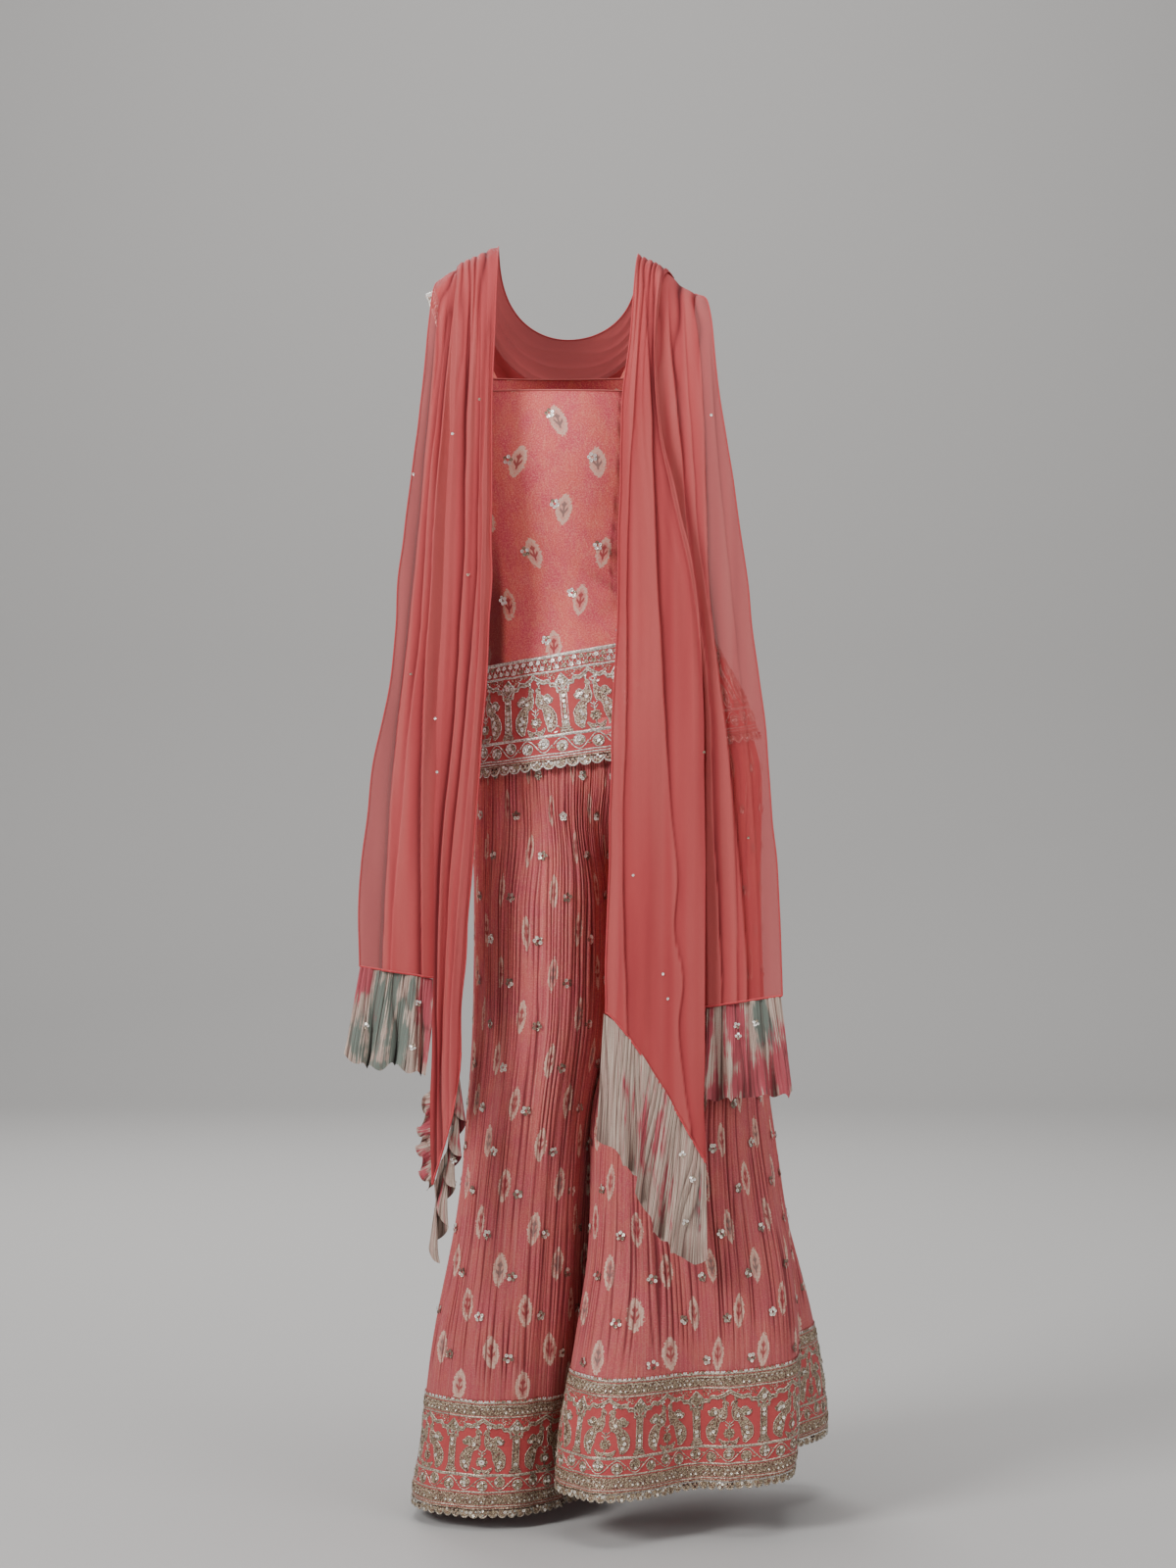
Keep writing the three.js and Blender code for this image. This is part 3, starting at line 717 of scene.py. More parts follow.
def tunic_drag(points, back):
    """Soft folds drawn from the raised hip up to the waist, and shallow dents elsewhere."""
    x, z = points[..., 0], points[..., 2]
    pull = np.zeros_like(x)
    folds = ((-100, -400, 26, 3.0, 0.45), (-118, -436, 20, 2.4, 0.62), (-70, -372, 30, 1.4, 0.3),
             (-62, -352, 13, 1.8, -0.55), (-48, -386, 14, 1.6, -0.5),
             (112, -392, 24, 1.8, -0.55), (104, -350, 22, 1.4, -0.35), (70, -300, 26, 1.4, 0.9))
    for cx, cz, wide, deep, lean in folds:
        off = (z - cz) + (x - cx) * lean
        along = (x - cx) / 60
        pull -= deep * np.exp(-(off / wide * 2.2) ** 2) * np.exp(-along ** 2)
    soft = 0.8 * grain(x / 55, z / 90, 11 if back else 12) + 0.35 * grain(x / 18, z / 40, 5)
    held = ease((z + 610) / 60) * ease((-160 - z) / 40)
    return (pull + soft) * held


def tunic_shade(points, back):
    """Painted shade in the side folds, where the cloth turns in beside the scarf and lies in its
    shadow, along and beyond the back's seam, in the drag folds, and towards the front's sides.
    """
    x, z = points[..., 0], points[..., 2]
    across = np.linspace(0, 1, len(points))[:, None] + 0 * z
    inner = ease(np.minimum(across, 1 - across) / 0.16)
    if not back:
        return 0.25 * ease((np.abs(x - CHEST_X) - 105) / 40) * inner
    left = column(px_table("497 400  499 500  507 560  512 640  512 720", 115), "x", z)
    right = column(px_table("634 400  631 470  627 530  624 570  629 640  634 720", 115), "x", z)
    wander = 1.2 * grain(z / 60, 0 * z, 64)
    dark = 0.92 * ease((x - left + wander) / 9 + 0.6) * ease((-290 - z) / 130)
    # Painted shade: a thin dark line where the cloth bends away at the back's seam, and lighter painted
    # shade beyond it.
    seam = 0.8 * np.exp(-((x - right - wander) / 1.5) ** 2) * ease((z + 420) / 50)
    beyond = 0.42 * ease((right - x) / 5) * ease((z + 440) / 60)
    drag = 0.45 * np.exp(-((z + 352 + (x + 62) * -0.55) / 5) ** 2) * np.exp(-((x + 58) / 14) ** 2)
    drag += 0.35 * np.exp(-((z + 386 + (x + 48) * -0.5) / 6) ** 2) * np.exp(-((x + 50) / 16) ** 2)
    return np.clip(dark + seam + beyond + drag, 0, 1) * inner


def make_tunic():
    for back in (True, False):
        points = tunic_half(back)
        name = "tunic_back" if back else "tunic_front"
        node = "kurti_back" if back else "kurti_front"
        flat = flat_map(points) + (0.008, -0.019)
        item = cloth_mesh(name, points, tunic_cloth, flat, tunic_shade(points, back), flip=back)
        dress(item, "weave", node)
        scatter_sequins(name + "_sequins", points, outward_of(points), flat,
                        KURTI_CELL, (-0.008, -0.006), silver)
        tube(name + "_neck_edge", points[:, 0] + (0, 0, 0.4), 1.1, piping)


def tube(name, line, radius, material, slot="weave"):
    """A round cord of cloth along a line of places."""
    line = np.asarray(line, float)
    ahead = unit(np.gradient(line, axis=0))
    aside = unit(np.cross(ahead, np.array([0.31, 0.22, 0.92])))
    angle = (np.arange(6) * math.tau / 6)[:, None, None]
    points = line + (np.cos(angle) * aside + np.sin(angle) * np.cross(ahead, aside)) * radius
    faces = lattice_faces(6, len(line), ring=True)
    return dress(mesh_from(name, points.reshape(-1, 3), faces, material), slot)


PIXEL, PIXEL_MIDDLE = 1.18, (600, 761)  # mm a pixel at the body's middle, and the view's middle


def px_table(rows, depth):
    """Places read off the view from behind, at this depth, as levels and places across in mm."""
    across, down = numbers(rows, 2).T
    scale = PIXEL * (CAMERA[1] - depth * MM) / CAMERA[1]
    x = CAMERA[0] / MM - (across - PIXEL_MIDDLE[0]) * scale
    z = CAMERA[2] / MM - (down - PIXEL_MIDDLE[1]) * scale
    order = np.argsort(-z)
    return table("z x", np.stack([z[order], x[order]], axis=1))


# A fold's line down the fall, how far it stands out, and the side that it opens to.
LEFT_FOLDS = [
    (px_table("447 300  440 400  426 560  420 620  405 750  395 900  391 995", 130), 4.5, -1),
    (px_table("458 290  452 360  446 420  437 520  430 640  416 760  404 900  400 1000", 130), 2.2, -1),
    (px_table("466 300  457 375  450 440  443 500  439 600  432 725  430 995", 130), 4.5, -1),
    (px_table("479 300  479 375  476 437  474 560  472 600  464 740  450 900  447 1000", 130), 5.0, -1),
    (px_table("488 290  490 380  489 480  486 600  473 750  459 900  452 1080", 145), 3.5, -1),
    (px_table("496 290  495 400  492 500  490 620  480 780  465 940  460 1060", 145), 2.0, -1),
]
RIGHT_FOLDS = [
    (px_table("655 330  650 400  643 500  640 620  638 760  636 900  640 1040", 140), 2.6, 1),
    (px_table("655 300  664 400  668 480  671 577  675 650  680 748  684 830  691 894  689 950  "
              "698 998  693 1044  698 1100  704 1150", 145), 3.4, 1),
    (px_table("672 300  668 360  672 443  683 503  700 570  710 627  717 700  719 760  "
              "720 1000", 140), 3.0, -1),
    (px_table("684 290  684 350  689 400  697 483  703 560  722 700  729 860  735 1000", 125), 4.2, 1),
    (px_table("698 300  702 380  708 470  714 560  738 720  748 860  752 1010", 125), 2.6, 1),
    (px_table("708 300  715 360  720 483  722 573  728 650  746 800  762 1000", 125), 4.5, 1),
    (px_table("725 360  733 480  742 560  754 680  768 820  776 1000", 125), 1.6, 1),
]


def fold_heights(folds, x, z):
    """Ridges with one sharp side, the dark cleft in front of each and the light along its crest."""
    height, shade = np.zeros_like(x), np.zeros_like(x)
    for k, (line, depth, side) in enumerate(folds):
        wander = 1.5 * grain(z / 130, 0 * z + k, 71) + 0.5 * grain(z / 34, 0 * z + k, 72)
        off = side * (x - column(line, "x", z) - wander)
        strong = depth * (0.85 + 0.4 * grain(z / 160, 0 * z + k, 73))
        height += 1.3 * strong * ease(off / 2.6 + 0.5) * np.exp(-np.maximum(off, 0) / 22)
        part = np.clip(strong / 4.2, 0.2, 1.2)
        cleft = 0.85 * np.exp(np.minimum(off, 0) / 3.4) + 0.14 * np.exp(np.minimum(off, 0) / 10)
        shade += part * cleft * (1 - ease(off / 1.4 + 0.3))
        shade -= (off > 0) * 0.40 * part * np.exp(-np.maximum(off - 1, 0) / 7)
    return height, shade


def strap_point(side, u, v):
    share = lerp(STRAP_INNER, STRAP_OUTER - 0.01, u)
    angle = np.arccos(share) if side > 0 else np.pi - np.arccos(share)
    back = oval_point(TUNIC, angle, NECK_BACK + 0 * angle)
    front = oval_point(TUNIC, -angle, NECK_FRONT + 0 * angle)
    foot = np.where((v < 0.5)[..., None], back, front)
    x = CHEST_X + side * lerp(STRAP_RIDGE[0], STRAP_RIDGE[1], u)
    rise = np.sin(np.pi * v)
    z = lerp(foot[..., 2] + 0.3, scarf_rest(x) - 2.8, rise)
    return stack(lerp(foot[..., 0], x, rise), foot[..., 1] * np.abs(np.cos(np.pi * v)), z)


def make_straps():
    for name, side in (("strap_left", 1), ("strap_right", -1)):
        u, v = np.meshgrid(np.linspace(0, 1, 16), np.linspace(0, 1, 70), indexing="ij")
        points = strap_point(side, u, v)
        item = cloth_mesh("cloth_" + name, points, tunic_cloth, flat_map(points), flip=side > 0)
        dress(item, "weave", name)


# ---- trousers ----
CRINKLES = 66  # pressed pleats on each panel
CRINKLE_DEPTH = 2.5
FLOWER = 0.0038  # from the middle of a sequin flower to its sequins, in metres


def crinkle(turn, z, seed):
    """Height of the crushed pleats, and how deep in the valleys each point lies, for painted shade."""
    phase = CRINKLES * turn / np.pi
    drift = 0.8 * grain(turn * 5, z / 420, seed) + 0.45 * grain(turn * 17, z / 170, seed + 1)
    drift += 0.14 * grain(turn * 50, z / 45, seed + 4)
    ridge = np.abs(np.sin(np.pi * (phase + drift)))
    second = np.abs(np.sin(np.pi * (phase * 0.31 + 0.8 * grain(turn * 4, z / 380, seed + 2))))
    strength = np.clip(0.7 + 0.8 * grain(turn * 15, z / 110, seed + 3), 0.1, 1.5)
    height = CRINKLE_DEPTH * strength * (ridge ** 0.7 - 0.6) + 1.4 * (second ** 0.7 - 0.6)
    valley_shade = (1 - ridge) ** 1.8 * strength * 1.3 + 0.5 * (1 - second) ** 3
    return height, np.clip(valley_shade, 0, 1)


def straightened(turn, z):
    """Where a pleat runs round the seat, so that it drops straight from the waist to its leg."""
    seat = 2 * np.arccos(np.cos(turn / 2) ** 2) * np.sign(turn)
    share = ease((CROTCH_TOP - z) / (CROTCH_TOP - CROTCH_BOTTOM))
    return lerp(seat, turn, share)


def leg_folds(turn, z, seed):
    """Broad soft folds that widen down the leg."""
    grown = np.clip((-480 - z) / 700, 0, 1)
    broad = 3.4 * grain(turn * 3.3, z / 420, seed) + 2.2 * grain(turn * 7.5, z / 300, seed + 1)
    return broad * grown


def leg_lean(leg, turn, z):
    """The right leg's back fold laps over the left leg, and both outer sides swing a little."""
    angle = np.degrees(leg_angle(leg, turn)) % 360
    if leg["side"] > 0:
        swing = np.exp(-(np.minimum(angle, 360 - angle) / 55) ** 2)
        return -8.5 * swing * ease((-1000 - z) / 160) * ease((z + 1475) / 60)
    lap = 17 * np.exp(-((angle - 25) / 26) ** 2) * np.exp(-((z + 1000) / 115) ** 2)
    swing = np.exp(-((angle - 180) / 48) ** 2)
    return lap + 10.5 * swing * ease((-960 - z) / 140) * ease((z + 1475) / 80)


def leg_panel(leg, back, columns=500, rows=42):
    first = 0 if back else -np.pi
    turn = np.linspace(first + 0.0015, first + np.pi - 0.0015, columns)[:, None]
    share = np.linspace(0, 1, rows)[None, :]
    hem = leg_hem(leg, turn) + TRIM_HEIGHT + LEG_BORDER
    z = lerp(WAIST_BOTTOM + 0 * turn, hem, share)
    return turn + 0 * z, z


def leg_surface(leg, turn, z):
    """A leg's points with its broad folds, held still at the seat's seams."""
    points = trouser_point(leg, turn, z)
    outward = outward_of(points)
    clear = np.clip(3 * np.abs(np.sin(turn)), 0, 1) + np.clip((-1000 - z) / 200, 0, 1)
    push = leg_folds(turn, z, 31 if leg["side"] > 0 else 47) * np.clip(clear, 0, 1) + leg_lean(leg, turn, z)
    return points + outward * push[..., None], outward


def make_legs():
    for side, leg in (("left", LEFT_LEG), ("right", RIGHT_LEG)):
        for half in ("back", "front"):
            turn, z = leg_panel(leg, half == "back")
            points, outward = leg_surface(leg, straightened(turn, z), z)
            height, valley_shade = crinkle(turn, z, 7 if leg["side"] > 0 else 21)
            lower = leg_hem(leg, turn) + TRIM_HEIGHT + LEG_BORDER
            fade = ease((z - lower) / 60) * ease((WAIST_BOTTOM - z) / 20 + 0.3)
            depth = lerp(0.35, 1.0, fade)
            points = points + outward * (height * depth)[..., None]
            flat = crinkled_flat(points)
            # The valleys' depth goes to the material as painted shade, weaker near the hem and waist.
            item = cloth_mesh(f"trouser_{side}_{half}", points, crinkled_cloth, flat,
                              valley_shade * depth, flip=leg["side"] > 0)
            dress(item, "weave", f"palazzo_{side}_{half}")
            scatter_sequins(f"trouser_{side}_{half}_sequins", points, outward, flat,
                            LEG_CELL, (0.0168, 0.010), soft_silver, 1.3)


def crinkled_flat(points):
    """The flat cloth under the pleats: widths as at the wide hem, lengths as worn."""
    flat = flat_map(points)
    across = steps(points[::8, -1], 0).sum() / (len(points) - 1)
    flat[..., 0] = (np.arange(len(points)) * across * MM)[:, None]
    return flat


def cup_faces():
    """Two rings of faces between a sequin's three rings of eight places."""
    k = np.arange(8)
    ring = np.stack([k, (k + 1) % 8, (k + 1) % 8 + 8, k + 8], axis=1)
    return np.vstack([ring, ring + 8])


def disc_cloud(name, place, across, down, out, radius, material):
    """Sequins at many places at once, each cupped, with a hole, and leaning its own way."""
    angle = np.arange(8) * math.tau / 8
    k = np.arange(len(place))
    lean = math.tau * share_of(k, k * 3 + 1, 19)
    rings = []
    for share, up in ((1.0, 0.9), (0.66, 0.6), (0.26, 0.8)):
        tip = up + 0.55 * share * np.cos(angle[None, :] - lean[:, None])
        flat = across[:, None] * np.cos(angle)[None, :, None] + down[:, None] * np.sin(angle)[None, :, None]
        rings.append(place[:, None] + flat * radius * share + out[:, None] * tip[..., None])
    faces = cup_faces()[None] + (k * 24)[:, None, None]
    item = mesh_from(name, np.concatenate(rings, axis=1).reshape(-1, 3), faces.reshape(-1, 4), material)
    return dress(item, "zari")


def facing_discs(name, place, radius):
    """Sequins that face straight back."""
    across, out, down = (np.tile(line, (len(place), 1)) for line in np.eye(3))
    return disc_cloud(name, place, across, down, out, radius, silver)


def surface_at(points, outward, flat, u, v):
    """Places and directions on a lattice at flat-cloth places in metres."""
    us, vs = flat[:, 0, 0], -flat[0, :, 1]
    i = np.clip(np.searchsorted(us, u) - 1, 0, len(us) - 2)
    j = np.clip(np.searchsorted(vs, v) - 1, 0, len(vs) - 2)
    fu = np.clip((u - us[i]) / (us[i + 1] - us[i]), 0, 1)[:, None]
    fv = np.clip((v - vs[j]) / (vs[j + 1] - vs[j]), 0, 1)[:, None]
    low, high = (lerp(points[i, j + k], points[i + 1, j + k], fu) for k in (0, 1))
    out = outward[i, j]
    down = points[i, j + 1] - points[i, j]
    down = unit(down - out * (down * out).sum(axis=1, keepdims=True))
    return lerp(low, high, fv), np.cross(down, out), down, out


def scatter_sequins(name, points, outward, flat, cell, offset, material, lift=0.0):
    """A little flower of five sequins beside each printed leaf."""
    width, length = flat[-1, 0, 0], -flat[0, -1, 1]
    flowers = []
    for i in range(int(width / cell[0]) + 1):
        for j in range(-1, int(length / cell[1]) + 2):
            u = (i + 0.5) * cell[0] + offset[0] + 0.002 * hashed(i, j, 2)
            v = (j + 0.5 + 0.5 * (i % 2)) * cell[1] + offset[1]
            if 0.008 < u < width - 0.008 and 0.012 < v < length - 0.012:
                turn = math.tau * hashed(i, j, 4)
                flowers.append(arc(u, v, FLOWER, FLOWER, turn, turn + math.tau, 6)[:5])
    u, v = np.concatenate(flowers).T
    place, across, down, out = surface_at(points, outward, flat, u, v)
    return disc_cloud(name, place + out * lift, across, down, out, 2.3, material)


def arc(x, y, wide, tall, first, last, count):
    """Places along a part of an oval."""
    angle = np.linspace(first, last, count)
    return np.stack([x + wide * np.cos(angle), y + tall * np.sin(angle)], axis=1)


def make_waistband():
    angle = np.linspace(0, math.tau, 161)[:, None]
    z = np.linspace(WAIST_TOP, WAIST_BOTTOM + 0.3, 14)[None, :] + 0 * angle
    points = oval_point(SEAT, angle + 0 * z, z)
    pleats = np.abs(np.sin(angle * 42 + grain(angle * 6, z / 30, 3)))
    pleats = pleats * np.sin(np.pi * (z - WAIST_TOP) / (WAIST_BOTTOM - WAIST_TOP))
    points += normals_of(points) * pleats[..., None]
    item = cloth_mesh("waistband", points, crinkled_cloth, flat_map(points), 0 * pleats)
    dress(item, "weave", "palazzo_waistband")


# ---- scarf ----
def folded_place(fall, level, u):
    """Where a share of the width lies in the Z fold: place and height over the path."""
    outer, near, far, inner, high = (column(fall["edges"], name, level) for name in EDGES.split()[1:])
    a, b = fall["far_end"], fall["near_start"]
    in_far, in_middle, in_near = u / a, (u - a) / (b - a), (u - b) / (1 - b)

    def strips(first, second, third):
        return np.where(u < a, first, np.where(u < b, second, third))
    x = strips(lerp(outer, far, in_far), lerp(far, near, in_middle), lerp(near, inner, in_near))
    free_far, free_near = (np.sin(np.pi * np.clip(part, 0, 1)) for part in (in_far, in_near))
    return x, strips(0, high * ease(in_middle), high), strips(free_far, 0, free_near)


def fall_bottom(fall, u):
    outer, far, near, inner, curve = fall["bottom"]
    a, b = fall["far_end"], fall["near_start"]
    return np.where(u < a, lerp(outer, far, u / a), np.where(
        u < b, lerp(far, near, (u - a) / (b - a)),
        lerp(inner, near, np.clip((1 - u) / (1 - b), 0, 1) ** curve)))


def gathers(fall, u, level, seed):
    """Uneven pleats caught at the shoulder, which open out a little way down, with painted shade in the
    hollows between them.
    """
    drift = 0.9 * grain(u * 6, level / 120, seed) + 0.25 * grain(u * 15, level / 45, seed + 1)
    fine = np.abs(np.sin(np.pi * (9 * u + drift)))
    loose = ease(-level / 230)
    swell = lerp(1.0, 1.9, ease(-level / 50))
    high = lerp(2.6, 0.0, loose) * swell * (fine ** 0.8) * (0.8 + 0.35 * grain(u * 9, level / 70, seed + 2))
    near, far = np.abs(u - fall["near_start"]), np.abs(u - fall["far_end"])
    high = high * ease(np.minimum(near, far) / 0.05)
    dark = (1 - fine) ** 2.0 * (1 - loose) * (0.9 + 0.6 * grain(u * 11, level / 90, seed + 3))
    return high, dark


def fall_points(fall, columns=264, rows=120):
    u = np.linspace(0, 1, columns)[:, None]
    v = (np.linspace(0, 1, rows) ** 1.25)[None, :]
    level = fall_bottom(fall, u) * v
    x, height, free = folded_place(fall, level, u + 0 * v)
    left = fall["side"] > 0
    sway = 1.6 * grain(level / 55, u * 2, 90 if left else 91)
    x = x + sway * ease(-level / 200) * ease((1 - free) * 2 - 1)
    pleats, dark = gathers(fall, u + 0 * v, level, 61 if left else 83)
    folds, shade = fold_heights(LEFT_FOLDS if left else RIGHT_FOLDS, x, level)
    open_out = ease((-level - 30) / 160)
    soft = 2.6 * grain(u * 7, level / 420, 33) * open_out + 1.0 * grain(u * 22, level / 200, 34) * open_out
    in_middle = (u > fall["far_end"]) & (u < fall["near_start"])
    raised = pleats + folds * open_out * np.clip(free * 3, 0.25, 1) + soft * free
    height = height + np.where(in_middle, 0, raised)
    turn = column(FALL_PATH, "turn", level) * np.pi / 2
    y = column(FALL_PATH, "y", level) + height * np.sin(turn) + 0.3
    rest = scarf_rest(x) * (1 - ease(-level / 260))
    z = column(FALL_PATH, "z", level) + rest + height * np.cos(turn)
    # Painted light and shade: shade in the gathers and fold clefts, highlight on the crests, random streaks
    # of tone, and the right fall starting lower so that more of it is painted lighter.
    tone = 0.17 * grain(x / 8, level / 420, 37) + 0.08 * grain(x / 30, level / 300, 38)
    start, strong = (0.27, 1.15) if left else (0.17, 0.88)
    painted_shading = np.clip(start + 0.8 * np.clip(dark, 0, 1) + shade * open_out * strong + tone, 0, 1)
    return stack(x, y, z), painted_shading, fall_veil(fall, x, level, u)


def fall_veil(fall, x, level, u):
    """How much each part of the scarf hides: the outer strip is one sheer layer."""
    solid = LEFT_FOLDS[0][0] if fall["side"] > 0 else RIGHT_FOLDS[5][0]
    inward = -fall["side"] * (x - column(solid, "x", level))
    in_far = u < fall["far_end"]
    single = lerp(0.60, 0.94, ease(inward / 3.0 + 0.5))
    single = np.maximum(single, 0.9 * (1 - ease((-level - 20) / 60)))
    return np.where(in_far, single, 0.92) + 0.04 * grain(u * 30, level / 160, 44)


def hold(item, name, values, kind="FLOAT", field="value"):
    """A number or a vector for each point of a mesh, for its material to read."""
    held = item.data.attributes.new(name, kind, "POINT")
    held.data.foreach_set(field, np.ascontiguousarray(values, dtype=np.float32).ravel())


def make_falls():
    for side, fall in (("left", LEFT_FALL), ("right", RIGHT_FALL)):
        points, painted_shading, veil = fall_points(fall)
        item = cloth_mesh(f"scarf_{side}", points, chiffon, flat_map(points), painted_shading, flip=fall["side"] > 0)
        hold(item, "veil", veil)
        dress(item, "chiffon", f"dupatta_fall_{side}")
        tube(f"scarf_{side}_outer_roll", points[0] + (0, 0.6, 0), 0.9, rolled_edge, "chiffon")
        tube(f"scarf_{side}_inner_roll", points[-1] + (0, 0.6, 0), 0.9, rolled_edge, "chiffon")
        tube(f"scarf_{side}_seam", points[:, -1] + (0, 0.8, 0), 1.3, rolled_edge, "chiffon")
        spangles(f"scarf_{side}_spangles", points, 9, 5 if side == "left" else 6)


def spangles(name, points, count, seed):
    """A few loose sequins over a piece of the scarf."""
    k = np.arange(count)
    i = (share_of(k, k * 5, seed) * (len(points) - 6)).astype(int) + 2
    j = ((0.25 + 0.74 * share_of(k * 3, k, seed + 1)) * (points.shape[1] - 4)).astype(int)
    return facing_discs(name, points[i, j] + (0, 0.8, 0), 1.6)


def frill_sequins(name, points, groups, seed):
    """Sequins in small groups over a frill."""
    k = np.arange(groups * 4)
    group = k // 4
    i = (0.08 + 0.84 * share_of(group * 7, group, seed)) * (len(points) - 1)
    j = (0.2 + 0.7 * share_of(group, group * 11, seed + 1)) * (points.shape[1] - 1)
    angle = k % 4 * math.tau / 4 + group
    place = points[i.astype(int), j.astype(int)] + stack(2.5 * np.cos(angle), 2.0, 2.5 * np.sin(angle))
    return facing_discs(name, place, 1.7)


NECK_DROPS, NECK_REACHES = (250, 78), (142, 84)  # the lower and the upper edge, at the front


def edge_at(places, u):
    """Places along a polyline, spread by its own length."""
    places = numbers(places, 2)
    along = running(steps(places, 0))
    x, z = (np.interp(u * along[-1], along, line) for line in places.T)
    return stack(x, z, 0 * u)


def neck_drape_points(columns=130, rows=130):
    u = np.linspace(0, 1, columns)[:, None]
    v = ((1 - np.cos(np.pi * np.linspace(0, 1, rows))) / 2)[None, :]
    left_x, left_h, left_free = folded_place(LEFT_FALL, np.zeros_like(u), u)
    right_x, right_h, right_free = folded_place(RIGHT_FALL, np.zeros_like(u), u)
    width = lerp((155 - left_x) / 75, (-165 - right_x) / -77, v)
    dip = np.maximum(np.sin(np.pi * v), 0)
    x = (left_x + right_x) / 2 + (left_x - right_x) / 2 * np.cos(np.pi * v)
    drop, reach = lerp(*NECK_DROPS, width), lerp(*NECK_REACHES, width)
    middle = (u > LEFT_FALL["far_end"]) & (u < LEFT_FALL["near_start"])
    caught = [np.where(middle, 0, gathers(fall, u, 0 * u, seed)[0])
              for fall, seed in ((LEFT_FALL, 61), (RIGHT_FALL, 83))]
    at_left, at_right = ease(1 - v * 3.2), ease(1 - (1 - v) * 3.2)
    along = u * 9 + 1.6 * grain(u * 3, v * 4, 17)
    loose = 4.5 * np.abs(np.sin(np.pi * along)) * lerp(left_free, right_free, v)
    pleats = caught[0] * at_left + caught[1] * at_right + loose * (1 - at_left - at_right)
    height = lerp(left_h, right_h, v) + pleats
    ridge = np.where(v < 0.5, scarf_rest(left_x), scarf_rest(right_x))
    forward = np.sqrt(2 * dip - dip * dip)
    turn = forward * np.pi / 2
    y = -reach * forward - height * np.sin(turn) - 0.3
    z = lerp(ridge, -drop, dip ** 0.9) + height * np.cos(turn)
    return stack(x, y, z)


def make_neck_drape():
    points = neck_drape_points()
    item = cloth_mesh("scarf_neck", points, chiffon, flat_map(points), 0.3 + 0 * points[..., 0])
    hold(item, "veil", 0.84 + 0 * points[..., 0])
    dress(item, "chiffon", "dupatta_neck")
    for name, line in (("lower", points[0]), ("upper", points[-1])):
        tube(f"scarf_neck_{name}_roll", line, 1.0, rolled_edge, "chiffon")


# How far back each lies, its seam and edge as x z places, its waves' depth and count, its fine
# crinkles, its sway, and blots of colour: place and reach as shares, then magenta and teal.
RUFFLES = {
    "left_wide_ruffle": {
        "depth": 148, "seam": "237 -833.5  192 -838  148 -849",
        "edge": "252 -934  242 -945  228 -951  214 -950  202 -946  188 -950  172 -957  158 -962",
        "frill": 9, "lobes": 3.2, "crinkles": 26, "sway": 4,
        "blots": "0.06 0.08 0.12 0.24 1.1 0  0.86 0.2 0.12 0.3 1.1 0  0.97 0.62 0.05 0.4 0.9 0  "
                 "0.3 0.55 0.13 0.6 0 1  0.46 0.26 0.12 0.4 0 0.9  0.6 0.75 0.16 0.46 0 1.1  "
                 "0.1 0.78 0.1 0.3 0 0.8  0.7 0.2 0.06 0.24 0 0.9  0.4 0.96 0.3 0.08 0 0.7"},
    "right_wide_ruffle": {
        "depth": 148, "seam": "-251 -867.6  -208 -874  -165 -882",
        "edge": "-268 -979  -258 -984  -246 -983  -232 -985  -214 -984  -200 -988  -182 -988  "
                "-160 -992",
        "frill": 9, "lobes": 3.2, "crinkles": 26, "sway": 4,
        "blots": "0.1 0.7 0.16 0.4 1.1 0  0.62 0.28 0.15 0.42 1.1 0  0.44 0.82 0.3 0.3 1 0  "
                 "0.96 0.3 0.07 0.4 1 0  0.86 0.92 0.12 0.2 0.8 0  0.3 0.16 0.12 0.34 0 1.1  "
                 "0.2 0.36 0.06 0.24 0 0.8"},
    "left_tail_ruffle": {
        "depth": 173, "seam": "123.5 -932  126 -985  129 -1012  137 -1045  151 -1082",
        "edge": "118 -1000  124 -1050  134 -1100  141 -1140  149 -1176",
        "frill": 11, "lobes": 4.4, "crinkles": 30, "sway": 9, "behind": 13, "aside": 3,
        "blots": "0.35 0.8 0.1 0.5 0.9 0  0.62 0.7 0.08 0.5 0.8 0  0.12 0.6 0.09 0.5 0.9 0  "
                 "0.5 0.3 0.08 0.3 0 0.9  0.75 0.3 0.06 0.3 0 0.8"},
    "right_tail_ruffle": {
        "depth": 175,
        "seam": "-163 -1060  -151 -1037  -140 -1016.6  -128 -996  -117 -976.5  -108 -962  "
                "-93 -938.5  -78 -917.5  -62 -898  -45 -885.5",
        "edge": "-162 -1172  -150 -1175  -132 -1166  -117.3 -1152  -106 -1140  -98 -1126  -92 -1110  "
                "-84.5 -1095  -78 -1067  -62 -1050  -38 -1031",
        "frill": 7, "lobes": 4.6, "crinkles": 74, "sway": 3,
        "blots": "0.6 0.5 0.1 0.4 0.64 0  0.46 0.4 0.09 0.36 0.64 0  0.34 0.7 0.1 0.34 0.5 0  "
                 "0.8 0.4 0.09 0.36 0.36 0  0.7 0.9 0.14 0.12 0.4 0  0.06 0.4 0.03 0.4 0.3 0.5"},
    "left_tail_flap": {
        "depth": 160, "seam": "144 -968  147 -1000  150 -1030  152 -1060  150 -1084",
        "edge": "156 -972  165 -1004  169 -1034  168 -1064  158 -1092",
        "frill": 5, "lobes": 4.5, "crinkles": 22, "sway": 4,
        "blots": "0.3 0.6 0.2 0.4 0.8 0  0.75 0.7 0.16 0.5 0.8 0"},
}


